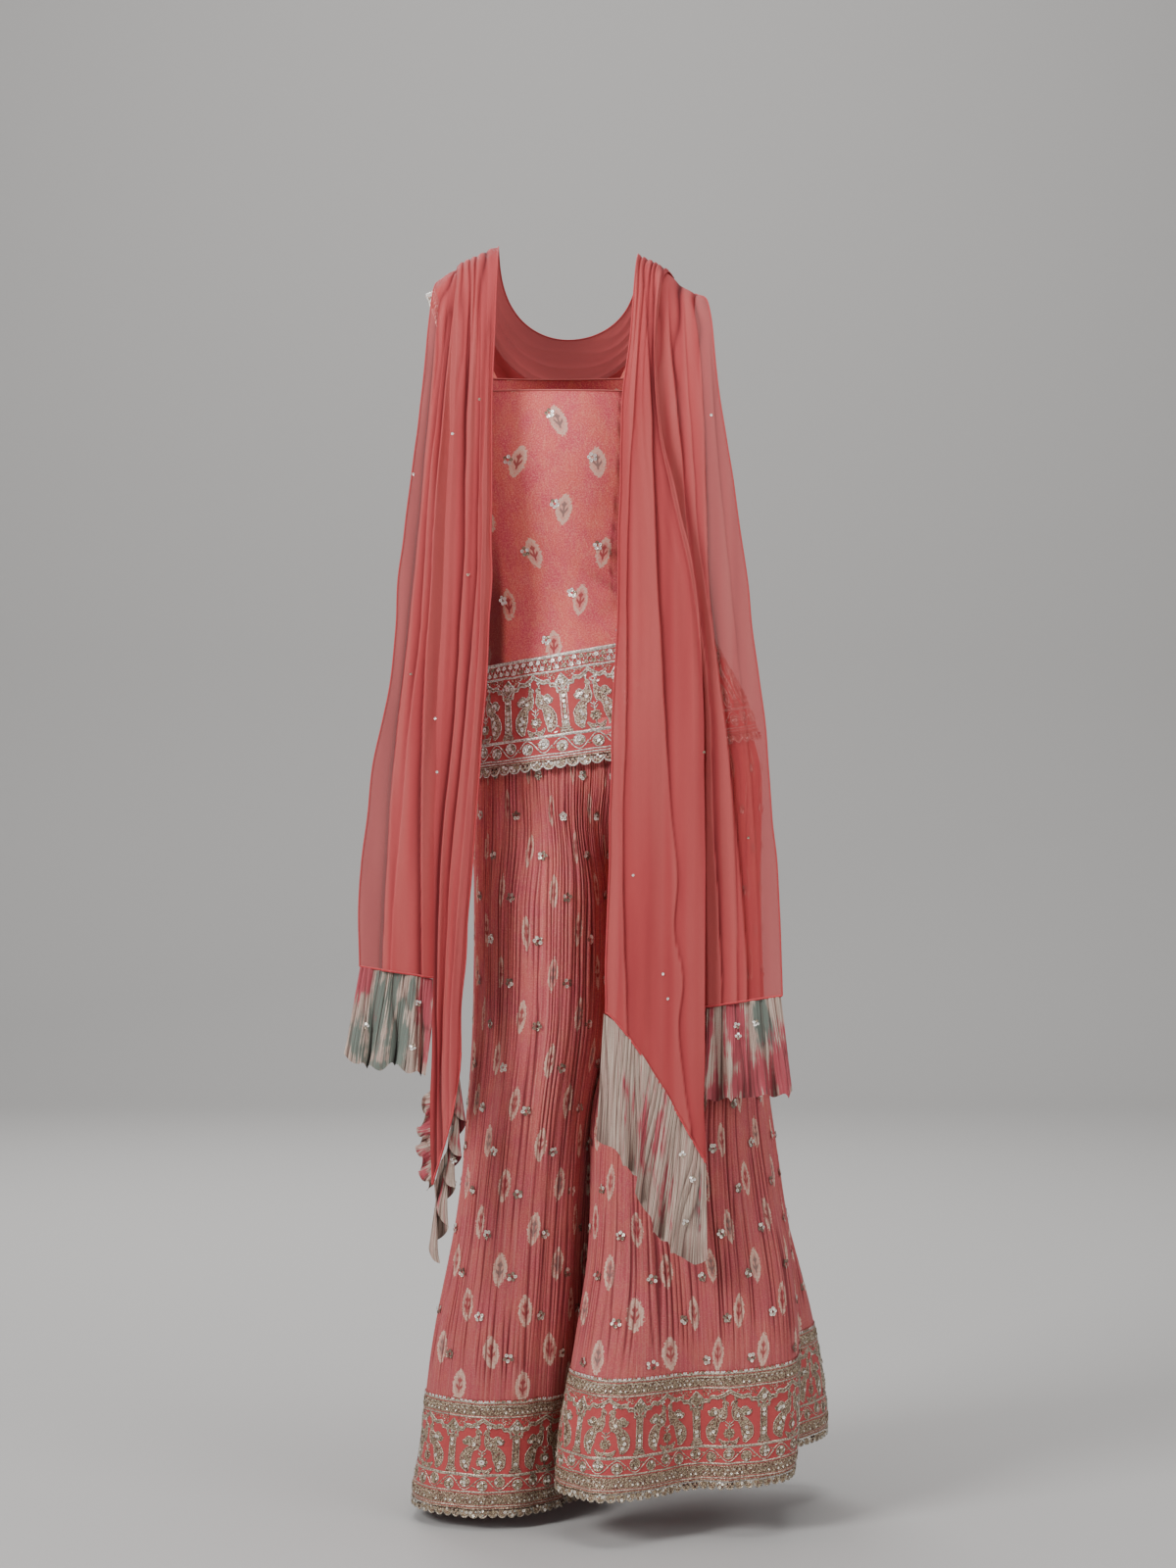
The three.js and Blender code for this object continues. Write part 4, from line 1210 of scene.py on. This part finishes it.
def ruffle_points(shape, seed, columns=300, rows=36):
    """A frill from its seam to its free edge: fine crushed pleats on deeper loose waves."""
    u = np.linspace(0, 1, columns)[:, None]
    v = np.linspace(0, 1, rows)[None, :]
    top, low = edge_at(shape["seam"], u), edge_at(shape["edge"], u)
    place = lerp(top, low, v[..., None])
    drift = 1.2 * grain(u * 9, v * 0.8, seed + 11) + 0.14 * grain(u * 30, v * 2.5, seed + 12)
    fine = np.abs(np.sin(np.pi * (u * shape["crinkles"] + drift)))
    broad = np.abs(np.sin(np.pi * (u * shape["crinkles"] * 0.3 + 1.2 * grain(u * 7, v * 1.2, seed + 15))))
    phase = math.tau * (u * shape["lobes"] + 0.30 * grain(u * 5, v * 1.2, seed + 13)) + 0.6 * seed
    wave = np.sin(phase)
    grown = lerp(0.12, 1.0, v ** 1.3)
    curl = ease((v - 0.78) / 0.22)
    strength = 0.45 + 0.5 * np.abs(grain(u * 24, v * 2, seed + 16))
    x = place[..., 0] + np.cos(phase) * shape["sway"] * grown + shape.get("aside", 0) * grown
    y = shape["depth"] + shape["frill"] * grown * wave
    y = y + 1.3 * strength * (fine ** 0.8 - 0.5) + 2.0 * (broad ** 0.7 - 0.5)
    y = y + 3.5 * curl * np.sin(phase * 2 + 1) - shape.get("behind", 0) * ease(v * 3)
    z = place[..., 1] + 1.4 * v ** 3 * grain(u * 9, 0 * v, seed + 14) + 2.6 * curl * np.cos(phase * 2)
    # Painted shade: deepest in the pleats' valleys and on the waves' receding sides.
    valley_shade = 0.8 * (1 - fine) ** 1.8 * strength + 0.7 * (1 - broad) ** 2.6
    valley_shade = valley_shade + 0.6 * np.clip(-wave, 0, 1) ** 2 * grown
    paint = np.zeros((columns, rows, 3))
    for cu, cv, ru, rv, magenta, teal in numbers(shape["blots"], 6):
        near = np.exp(-((u - cu) / ru) ** 2 - ((v - cv) / rv) ** 2)
        paint[..., 0] = np.maximum(paint[..., 0], near * magenta)
        paint[..., 1] = np.maximum(paint[..., 1], near * teal)
    return stack(x, y, z), np.clip(valley_shade, 0, 1), paint


def make_ruffles():
    for seed, (name, shape) in enumerate(RUFFLES.items()):
        flap = name == "left_tail_flap"
        points, valley_shade, paint = ruffle_points(shape, seed, *((110, 18) if flap else (300, 36)))
        item = cloth_mesh("crepe_" + name, points, crepe, flat_map(points) + seed * 0.37, valley_shade)
        hold(item, "paint", paint, "FLOAT_VECTOR", "vector")
        dress(item, "crepe", *(() if flap else (name,)))
        if not flap:
            frill_sequins("crepe_" + name + "_sequins", points, 3, 40 + seed)


# ---- borders and their embroidery ----
class Band:
    """A hem band as a surface that is read by distance along it and height above its edge."""

    def __init__(self, points, heights, closed):
        self.along = running(steps(points[:, len(heights) // 2], 0))
        self.outward = outward_of(points)
        self.heights, self.points, self.closed = heights, points + self.outward * 0.6, closed
        self.length = self.along[-1]

    def at(self, s, h, lift):
        s = s % self.length if self.closed else np.clip(s, 0, self.length)
        h = np.clip(h, self.heights[0], self.heights[-1])
        i = np.clip(np.searchsorted(self.along, s) - 1, 0, len(self.along) - 2)
        j = np.clip(np.searchsorted(self.heights, h) - 1, 0, len(self.heights) - 2)
        fs = ((s - self.along[i]) / (self.along[i + 1] - self.along[i]))[:, None]
        fh = ((h - self.heights[j]) / (self.heights[j + 1] - self.heights[j]))[:, None]

        def read(field):
            return lerp(*(lerp(field[i, j + k], field[i + 1, j + k], fs) for k in (0, 1)), fh)
        return read(self.points) + read(self.outward) * lift[:, None]

    def place_of(self, x):
        """Distance along the back of the band where it passes a place across the wearer."""
        row = self.points[:, len(self.heights) // 2]
        back = row[:, 1] > row[:, 1].mean()
        return self.along[np.argmin(np.where(back, np.abs(row[:, 0] - x), 1e9))]


def leg_band(leg):
    turn = np.linspace(-np.pi, np.pi, 661)[:, None]
    heights = np.concatenate([[0], np.linspace(TRIM_HEIGHT, TRIM_HEIGHT + LEG_BORDER, 17)])
    z = leg_hem(leg, turn) + heights[None, :]
    points, _ = leg_surface(leg, turn + 0 * z, z)
    return Band(points, heights, True)


def tunic_band(back):
    angle = (1 if back else -1) * np.linspace(0.0007, np.pi - 0.0007, 361)[:, None]
    heights = np.concatenate([[0], np.linspace(TRIM_HEIGHT, TRIM_HEIGHT + KURTI_BORDER, 16)])
    z = tunic_edge_z(angle, heights[None, :])
    return Band(oval_point(TUNIC, angle + 0 * z, z), heights, False)


class Stitches:
    """Threads, filled shapes and discs as (along, height, lift) places, mapped to a band later."""

    def __init__(self):
        self.places, self.faces, self.count = [], [], 0

    def add(self, places, faces):
        self.places.append(np.asarray(places, float))
        self.faces.append(np.asarray(faces) + self.count)
        self.count += len(places)

    def whole(self):
        return np.concatenate(self.places), np.concatenate(self.faces)

    def web(self, one, other, lift=1.0, foot=0.1):
        """A rounded patch between two lines of (along, height) places."""
        one, other = np.asarray(one, float), np.asarray(other, float)
        rows = ((one, foot), (lerp(one, other, 0.5), lift), (other, foot))
        places = np.concatenate([np.column_stack([line, np.full(len(line), up)]) for line, up in rows])
        low = (np.arange(2)[:, None] * len(one) + np.arange(len(one) - 1)).ravel()
        self.add(places, np.stack([low, low + 1, low + 1 + len(one), low + len(one)], axis=1))

    def ribbon(self, line, width, lift=0.9):
        """A rounded thread, or with a width for each place, a leaf-like shape."""
        self.web(*sides_of(np.asarray(line, float), width), lift)

    def disc(self, s, h, radius, lift=0.9, sides=8):
        """A small dome."""
        rim = arc(s, h, radius, radius, 0, math.tau, sides + 1)[:-1]
        k = np.arange(0, sides, 2)
        faces = np.stack([k, k + 1, (k + 2) % sides, np.full(len(k), sides)], axis=1)
        self.add([*np.column_stack([rim, np.full(sides, 0.15)]), (s, h, lift)], faces)

    def sequin(self, s, h, radius, lift=0.8):
        """A cup with a hole in its middle; its number in the work sets how it leans."""
        angle = np.arange(8) * math.tau / 8
        lean = math.tau * share_of(self.count, 7, 1)
        rows = [np.stack([s + radius * share * np.cos(angle), h + radius * share * np.sin(angle),
                          lift + up + 0.42 * share * np.cos(angle - lean)], axis=1)
                for share, up in ((1.0, 0.30), (0.66, 0.0), (0.26, 0.25))]
        self.add(np.vstack(rows), cup_faces())

    def tiled(self, count, step, start=0.0):
        """The same places again and again along the band."""
        made = Stitches()
        places, faces = self.whole()
        for k in range(count):
            made.add(places + (start + k * step, 0, 0), faces)
        return made

    def join(self, other):
        if other.places:
            self.add(*other.whole())

    def make(self, name, band, material):
        places, faces = self.whole()
        s, h, lift = places.T
        if not band.closed:
            inside = (s > 0.5) & (s < band.length - 0.5)
            faces = faces[inside[faces].all(axis=1)]
        s = s + 0.55 * grain(s / 11, h / 8, 3)
        h = h + 0.55 * grain(s / 13, h / 9, 4)
        return dress(mesh_from(name, band.at(s, h, lift), faces, material), "zari")


def sides_of(line, width):
    """The two edges of a strip of this width along a line."""
    ahead = unit(np.gradient(line, axis=0))
    side = np.stack([-ahead[:, 1], ahead[:, 0]], axis=1) * np.reshape(width, (-1, 1)) / 2
    return line + side, line - side


def smooth_line(points, parts=6):
    """A curve through a few places."""
    p = np.array(points, float)
    ends = np.vstack([2 * p[0] - p[1], p, 2 * p[-1] - p[-2]])
    t = np.linspace(0, 1, parts, endpoint=False)[:, None]
    curve = [0.5 * (2 * b + (c - a) * t + (2 * a - 5 * b + 4 * c - d) * t ** 2
                    + (3 * b - a - 3 * c + d) * t ** 3)
             for a, b, c, d in zip(ends, ends[1:], ends[2:], ends[3:])]
    return np.vstack([*curve, p[-1:]])


class Kit:
    """The four kinds of work that a border is made of."""

    KINDS = ("cord", "couch", "spark", "gold")

    def __init__(self):
        self.cord, self.couch, self.spark, self.gold = (Stitches() for _ in self.KINDS)

    def shape(self, line, widths, edge=1.1):
        """A filled shape along a curve, with a cord round it."""
        curve = smooth_line(line, 5)
        wide = np.interp(np.linspace(0, 1, len(curve)), np.linspace(0, 1, len(widths)), widths)
        self.couch.ribbon(curve, wide, 1.3)
        for edge_line in sides_of(curve, wide):
            self.cord.ribbon(edge_line, edge, 1.0)

    def dots(self, places, radius, lift=0.8):
        for place in places:
            self.spark.sequin(*place, radius, lift)

    def tiled(self, count, step, start=0.0):
        made = Kit()
        for name in self.KINDS:
            if getattr(self, name).places:
                setattr(made, name, getattr(self, name).tiled(count, step, start))
        return made

    def join(self, other):
        for name in self.KINDS:
            getattr(self, name).join(getattr(other, name))


def bar(x, half, height):
    return [(x - half, height), (x + half, height)]


def foiled_arch(left, right, foot, apex):
    """Half of a pointed arch with two round foils, then its mirror image."""
    middle, half, rise = (left + right) / 2, (right - left) / 2, apex - foot
    corners = [(1.0, 0.0), (0.74, 0.42), (0.44, 0.60), (0.0, 1.0)]
    bulges = (0.30, 0.26, -0.05)
    side = []
    for (x0, y0), (x1, y1), bulge in zip(corners, corners[1:], bulges):
        for t in np.linspace(0, 1, 7)[:-1]:
            swell = bulge * math.sin(math.pi * t)
            side.append((lerp(x0, x1, t) + swell * 0.22, lerp(y0, y1, t) + swell * 0.55))
    side.append((0.0, 1.0))
    places = [(middle - half * x, foot + rise * y) for x, y in side]
    return np.array(places + [(2 * middle - x, y) for x, y in places[-2::-1]])


def column_work(kit, x, low, capital):
    """A slender pillar on a stepped foot under a diamond."""
    for half, floor in ((7.5, 0.4), (6.0, 3.2), (4.8, 6.0)):
        kit.couch.web(bar(x, half, low + floor), bar(x, half, low + floor + 2.4), 1.2)
        kit.cord.ribbon(bar(x, half, low + floor + 2.6), 0.9)
    foot = low + 9.0
    kit.couch.web([(x - 3.2, foot), (x - 3.2, capital)], [(x + 3.2, foot), (x + 3.2, capital)], 0.8)
    for side in (-3.9, 3.9):
        kit.cord.ribbon([(x + side, foot), (x + side, capital)], 1.2, 1.1)
    count = max(4, int((capital - foot) / 5.4))
    kit.dots([(x, foot + (k + 0.5) * (capital - foot) / count) for k in range(count)], 2.2)
    kit.couch.web([(x - 4.5, capital), (x - 7.5, capital + 3.2)],
                  [(x + 4.5, capital), (x + 7.5, capital + 3.2)], 1.2)
    kit.cord.ribbon(bar(x, 8, capital + 3.4), 1.4, 1.2)
    base, tall, wide = capital + 3.6, 19.0, 8.8
    west, east = ([(x, base), (x + side, base + tall / 2), (x, base + tall)] for side in (-wide, wide))
    kit.couch.web(smooth_line(west, 3), smooth_line(east, 3), 1.4)
    for line in (west, east):
        kit.cord.ribbon(line, 1.8, 1.3)
    kit.spark.sequin(x, base + tall / 2, 3.0, 1.5)
    corners = ((-5.6, 9.5), (5.6, 9.5), (0, 4.0), (0, 15.2), (-3.2, 13.0), (3.2, 13.0))
    kit.dots([(x + dx, base + dy) for dx, dy in corners], 1.5, 1.4)


def bird_work(kit, middle, half, low, tall, side):
    """One long-tailed bird that looks inward, its tail hanging towards the pillar."""
    def at(*places):
        return [(middle + side * x * half, low + y * tall) for x, y in places]
    kit.shape(at((0.36, 0.53), (0.48, 0.45), (0.58, 0.32), (0.60, 0.17), (0.51, 0.03)),
              [7.0, 11.0, 15.0, 12.5, 2.5])
    kit.dots(at((0.46, 0.44), (0.56, 0.35), (0.50, 0.29), (0.61, 0.24), (0.55, 0.15)), 2.0, 1.5)
    kit.shape(at((0.17, 0.85), (0.16, 0.77), (0.22, 0.68), (0.31, 0.60), (0.40, 0.53)),
              [3.4, 5.0, 11.5, 15.0, 9.0])
    kit.shape(at((0.36, 0.65), (0.50, 0.69), (0.62, 0.64), (0.73, 0.69)), [4.0, 10.0, 6.0, 1.4])
    kit.dots(at((0.45, 0.68), (0.55, 0.68), (0.62, 0.64), (0.28, 0.61)), 1.9, 1.5)
    kit.couch.disc(*at((0.16, 0.88))[0], 3.5, 1.7)
    kit.cord.ribbon(at((0.12, 0.90), (0.07, 0.88), (0.035, 0.82)), np.array([2.4, 1.9, 0.7]), 1.3)
    for tip in ((0.24, 0.98), (0.16, 1.0)):
        kit.cord.ribbon(at((0.18, 0.92), tip), 1.1)
        kit.dots(at(tip), 1.3)
    kit.gold.disc(*at((0.28, 0.65))[0], 1.8, 2.0)


def plant_work(kit, middle, half, low, tall):
    """A round flower between two leaves, with a bud of paired leaflets above."""
    def at(*places):
        return [(middle + x * half, low + y * tall) for x, y in places]
    heart = at((0, 0.24))[0]
    for petal in arc(*heart, 4.6, 4.6, 0, math.tau, 9)[:-1]:
        kit.couch.disc(*petal, 2.3, 1.3, 6)
    kit.spark.sequin(*heart, 3.3, 1.2)
    kit.cord.ribbon(at((0, 0.34), (0, 0.50)), 1.2)
    for side in (1, -1):
        kit.shape(at((0, 0.06), (side * 0.15, 0.03), (side * 0.30, 0.12)), [1.8, 5.6, 0.9], 0.9)
        for y in (0.36, 0.43):
            kit.cord.ribbon(at((0, y), (side * 0.12, y + 0.07)), 1.3)
        kit.cord.ribbon(at((0, 0.06), (0, 0.14)), 1.4)


def spandrel_work(kit, left, pitch, arch, ceiling):
    """Curls that fill the corner over the arch, clear of it and of the pillar's diamond."""
    for side in (1, -1):
        for row in range(5):
            h = ceiling - 2.4 - 4.4 * row
            diamond = 10.5 * (1 - abs((ceiling - 10.5) - h) / 11.5)
            for k in range(8):
                off = 3.0 + 4.8 * k + 2.4 * (row % 2)
                clear = np.interp(left + off, arch[:, 0], arch[:, 1])
                if off > pitch / 2 - 2 or h < clear + 4.6 or off < diamond + 2.0:
                    continue
                turn = (row * 2.1 + k * 1.3) % math.tau
                curl = arc(left + side * off, h, 1.6, 1.6, turn, turn + 4.4, 6)
                (kit.couch if (row + k) % 3 else kit.cord).ribbon(curl, 1.1, 0.8)


def bay_work(pitch, low, high):
    """One arch of the arcade: pillar, birds, plant and the filled corners over them."""
    kit = Kit()
    tall = high - low
    capital = high - 25.5
    column_work(kit, 0.0, low, capital)
    arch = foiled_arch(6.5, pitch - 6.5, capital + 2.0, high - 2.6)
    kit.couch.ribbon(arch, 3.4, 1.1)
    kit.cord.ribbon(arch + (0, 1.9), 1.9, 1.5)
    kit.cord.ribbon(arch - (0, 1.7), 1.7, 1.5)
    spandrel_work(kit, 0.0, pitch, arch, high)
    for side in (1, -1):
        bird_work(kit, pitch / 2, pitch / 2 - 5.0, low + 1, tall * 0.84, side)
    plant_work(kit, pitch / 2, pitch / 2, low + 1, tall * 0.84)
    return kit


def straight(low, high, step, length):
    s = np.arange(0, length + step, step)
    return [np.stack([s, np.full(len(s), float(height))], axis=1) for height in (low, high)]


def line_work(kit, length, height, width, bright=True):
    """A couched line that runs all the way along."""
    work = kit.cord if bright else kit.couch
    work.web(*straight(height - width / 2, height + width / 2, 3.0, length), 1.2)


def lattice_work(length, low, high, step, rings):
    """A filled band. Rings: two staggered rows of sequins with small coils between them, on the
    bare ground. Else: close dull coils with a zigzag and small cups over them."""
    kit = Kit()
    middle = (low + high) / 2
    if rings:
        for row, h in enumerate((lerp(low, high, 0.24), lerp(low, high, 0.76))):
            s = row * step / 2
            kit.spark.sequin(s, h, 2.7, 0.9)
            for k, (work, turn) in enumerate(((kit.couch, 0.6), (kit.cord, 2.6))):
                work.ribbon(arc(s + step * (0.36 + 0.28 * k), h, 1.25, 1.9, turn, turn + 4.2, 6), 1.1, 0.8)
            kit.cord.ribbon([(s + step * 0.22, middle - 1.2), (s + step * 0.34, middle + 1.4)], 1.1, 0.8)
    else:
        kit.couch.web(*straight(low + 0.3, high - 0.3, step / 4, step), 0.5)
        for s in (0, step / 2):
            for h in (low + 1.6, high - 1.6):
                kit.couch.ribbon([(s - step * 0.3, h), (s, middle)], 1.5, 1.3)
        kit.dots([(step * 0.24, middle + 2.2), (step * 0.74, middle - 2.4)], 1.2, 1.2)
        kit.cord.ribbon([(step * 0.5, middle - 1.0), (step * 0.72, middle + 1.6)], 0.9, 1.3)
    return kit.tiled(int(length / step), length / int(length / step))


def vine_work(length, low, high, pitch, dull):
    """Rosettes on a waving stem that passes over and under them in turn."""
    middle, swing = (low + high) / 2, (high - low) / 2 - 1.0
    kit = Kit()
    s = np.linspace(0, 2 * pitch, 29)
    kit.cord.ribbon(np.stack([s, middle + swing * np.sin(math.pi * s / pitch)], axis=1), 1.4, 1.0)
    for centre, side in ((0.5 * pitch, -1), (1.5 * pitch, 1)):
        h = middle + side * swing * 0.24
        kit.couch.disc(centre, h, 6.3, 1.2, 12)
        petals = arc(centre, h, 4.3, 4.3, 0, math.tau, 9)[:-1]
        kit.dots(petals[::2] if dull else petals, 1.5, 1.0)
        kit.cord.ribbon(arc(centre, h, 6.3, 6.3, 0, math.tau, 13), 0.9, 1.0)
        kit.spark.sequin(centre, h, 2.1, 1.5)
        join = centre + pitch / 2
        tendril = [(join - 3, middle - side * 2.2), (join + 3, middle - side * 3.4)]
        kit.couch.ribbon(tendril, np.array([0.6, 2.2]), 0.9)
    count = int(length / (2 * pitch))
    return kit.tiled(count, length / count)


def scallop_work(length, pitch, mirrors):
    """Half-round beaded edging, with small mirrors in some of the scallops."""
    edge, beads, glass = Kit(), Stitches(), Stitches()
    count = int(length / pitch)
    pitch = length / count
    for k in range(count):
        s = (k + 0.5) * pitch
        rim = arc(s, TRIM_HEIGHT - 2.4, pitch * 0.49, 8.0, 0.1, -math.pi - 0.1, 10)
        edge.cord.ribbon(rim, 1.9, 1.3)
        edge.couch.web(np.stack([rim[:, 0], np.full(len(rim), TRIM_HEIGHT - 1.6)], axis=1), rim, 0.8)
        chosen = hashed(k, 3, 9) > (0.1 if mirrors else 0.8)
        for j, (dx, dy) in enumerate(((-3.0, -1.4), (3.0, -1.4), (0.0, -5.0))):
            if chosen:
                glass.disc(s + dx * 0.86, TRIM_HEIGHT - 2.2 + dy * 0.9, 2.0, 2.2, 6)
            elif (k + j) % 2:
                beads.disc(s + dx, TRIM_HEIGHT - 2.2 + dy, 1.9, 1.9, 6)
            else:
                edge.spark.sequin(s + dx, TRIM_HEIGHT - 2.2 + dy, 1.8, 1.1)
        if not chosen:
            edge.spark.sequin(s, TRIM_HEIGHT - 1.4, 1.4, 1.1)
    return edge, beads, glass


BORDERS = {  # measures in mm; True is the trousers' tall border and False the tunic's
    True: {"high": LEG_BORDER, "head": 5.5, "vine": 22, "vine_tall": 17, "lattice": 6.4, "rosette": 21.0,
           "scallop": 11.2, "lines": (2.6, 2.2), "work": (dull_cord, couched_dull, gilt)},
    False: {"high": KURTI_BORDER, "head": 4, "vine": 8, "vine_tall": 18, "lattice": 9.6, "rosette": 19.5,
            "scallop": 13.2, "lines": (4.0, 2.6), "work": (zari_cord, couched, silver)},
}


def embroider(name, band, pitch, tall, column_at):
    """All the metal thread of one border: lattice, arcade, vine, lines and scallops."""
    kit, at, length = Kit(), BORDERS[tall], band.length
    top = TRIM_HEIGHT + at["high"]
    if band.closed:
        pitch = length / round(length / pitch)
    lattice_high = top - at["head"]
    lattice_low = lattice_high - 14
    vine_low = TRIM_HEIGHT + at["vine"]
    vine_high = vine_low + at["vine_tall"]
    start = band.place_of(column_at) % pitch - pitch
    bays = int(length / pitch) + (0 if band.closed else 2)
    kit.join(bay_work(pitch, vine_high + 3.4, lattice_low - 2.6).tiled(bays, pitch, start))
    kit.join(lattice_work(length, lattice_low, lattice_high, at["lattice"], not tall))
    kit.join(vine_work(length, vine_low, vine_high, at["rosette"], tall))
    upper, lower = at["lines"]

    def lines(*rows):
        for height, width in rows:
            line_work(kit, length, height, width)
    lines((lattice_high + 1.8, upper), (lattice_low - 1.6, lower), (vine_high + 1.7, 3.4))
    if tall:
        lines((lattice_high - 2.2, 1.3), (vine_low - 1.4, 2.2))
        kit.join(lattice_work(length, TRIM_HEIGHT + 4.6, vine_low - 3.2, 6.4, False))
        lines((TRIM_HEIGHT + 3.2, 2.0))
        foils = Kit()
        foils.gold.sequin(0, top - 0.6, 2.6)
        kit.join(foils.tiled(int(length / 6.6), length / int(length / 6.6)))
    else:
        lines((vine_low - 1.4, 1.8), (vine_low - 4.6, 1.8))
    line_work(kit, length, TRIM_HEIGHT + 0.4, 2.2, False)
    edge, beads, glass = scallop_work(length, at["scallop"], not tall)
    kit.join(edge)
    cord, couch, spark = at["work"]
    for part, work, material in (
            ("cords", kit.cord, cord), ("couching", kit.couch, couch), ("sequins", kit.spark, spark),
            ("foils", kit.gold, silver), ("beads", beads, pale_bead), ("mirrors", glass, dark_glass)):
        work.make(f"{name}_{part}", band, material)


def band_cloth(name, band, *nodes):
    keep = band.heights >= TRIM_HEIGHT - 0.1
    points = band.points[:, keep]
    item = cloth_mesh(name, points, border_ground, flat_map(points))
    dress(item, "zari", *nodes)


def make_strap_trim():
    """Two couched lines with sequins between them along each strap's edge at the arm."""
    for name, side in (("left", 1), ("right", -1)):
        v, u = np.meshgrid(np.linspace(0.03, 0.97, 170), np.linspace(1, 0.6, 9), indexing="ij")
        band = Band(strap_point(side, u, v), np.linspace(0, 12, 9), False)
        kit = Kit()
        for height in (1.2, 10.6):
            line_work(kit, band.length, height, 2.0)
        row = Kit()
        row.spark.sequin(0, 4.2, 2.1, 0.7)
        row.spark.sequin(2.6, 7.7, 2.1, 0.7)
        kit.join(row.tiled(int(band.length / 5.2), 5.2))
        kit.cord.make(f"strap_trim_{name}_cords", band, zari_cord)
        kit.spark.make(f"strap_trim_{name}_sequins", band, silver)


def make_borders():
    for side, leg, column_at in (("left", LEFT_LEG, 135), ("right", RIGHT_LEG, -88)):
        band = leg_band(leg)
        band_cloth(f"trouser_border_{side}", band, f"palazzo_border_{side}", f"palazzo_trim_{side}")
        embroider(f"trouser_zari_{side}", band, 81, True, column_at)
    for half in ("back", "front"):
        band = tunic_band(half == "back")
        band_cloth(f"tunic_border_{half}", band, f"kurti_border_{half}", f"kurti_trim_{half}")
        embroider(f"tunic_zari_{half}", band, 71, False, 1)


# ---- floor and light ----
def plain_stage():
    graph = Graph("pale_floor")
    shader = graph.out("BsdfPrincipled", 0, {"Base Color": colour(178, 176, 174), "Roughness": 0.9})
    material = graph.finish(shader)
    floor_z, back_y, bend, wall_top = -1.512, -5.8, 1.2, 6.0
    curve = arc(back_y + bend, floor_z + bend, bend, bend, -np.pi / 2, -np.pi, 16)
    profile = np.vstack([(8.0, floor_z), curve, (back_y, wall_top)])
    points = stack(np.array([[-10.0], [10.0]]), profile[:, 0], profile[:, 1]) / MM
    floor = mesh_from("floor", points.reshape(-1, 3), lattice_faces(2, len(profile)), material)


def area_light(name, place, aim, size, power, tint=(1, 1, 1)):
    data = bpy.data.lights.new(name, "AREA")
    data.shape, data.size, data.energy, data.color = "SQUARE", size, power, tint
    lamp = bpy.data.objects.new(name, data)
    lamp.location = place
    lamp.visible_camera = False
    direction = Vector(aim) - Vector(place)
    lamp.rotation_euler = direction.to_track_quat("-Z", "Y").to_euler()
    bpy.context.scene.collection.objects.link(lamp)


def make_light():
    area_light("key", (3.0, 3.2, 1.7), (0, 0, -0.7), 1.6, 215)
    area_light("fill", (-3.0, 3.0, 0.6), (0, 0, -0.8), 2.4, 72)
    area_light("top", (0, 0.6, 3.0), (0, 0, -0.8), 2.5, 95)
    area_light("front", (1.0, -3.4, 1.6), (0, 0, -0.7), 2.2, 70)
    area_light("backdrop", (0, -2.4, 2.7), (0, -5.8, -0.3), 2.6, 105)
    world = bpy.data.worlds.new("studio")
    world.use_nodes = True
    world.node_tree.nodes["Background"].inputs["Color"].default_value = (0.62, 0.63, 0.65, 1)
    world.node_tree.nodes["Background"].inputs["Strength"].default_value = 0.3
    bpy.context.scene.world = world


make_tunic()
make_straps()
make_legs()
make_waistband()
make_borders()
make_strap_trim()
make_falls()
make_neck_drape()
make_ruffles()
plain_stage()
make_light()
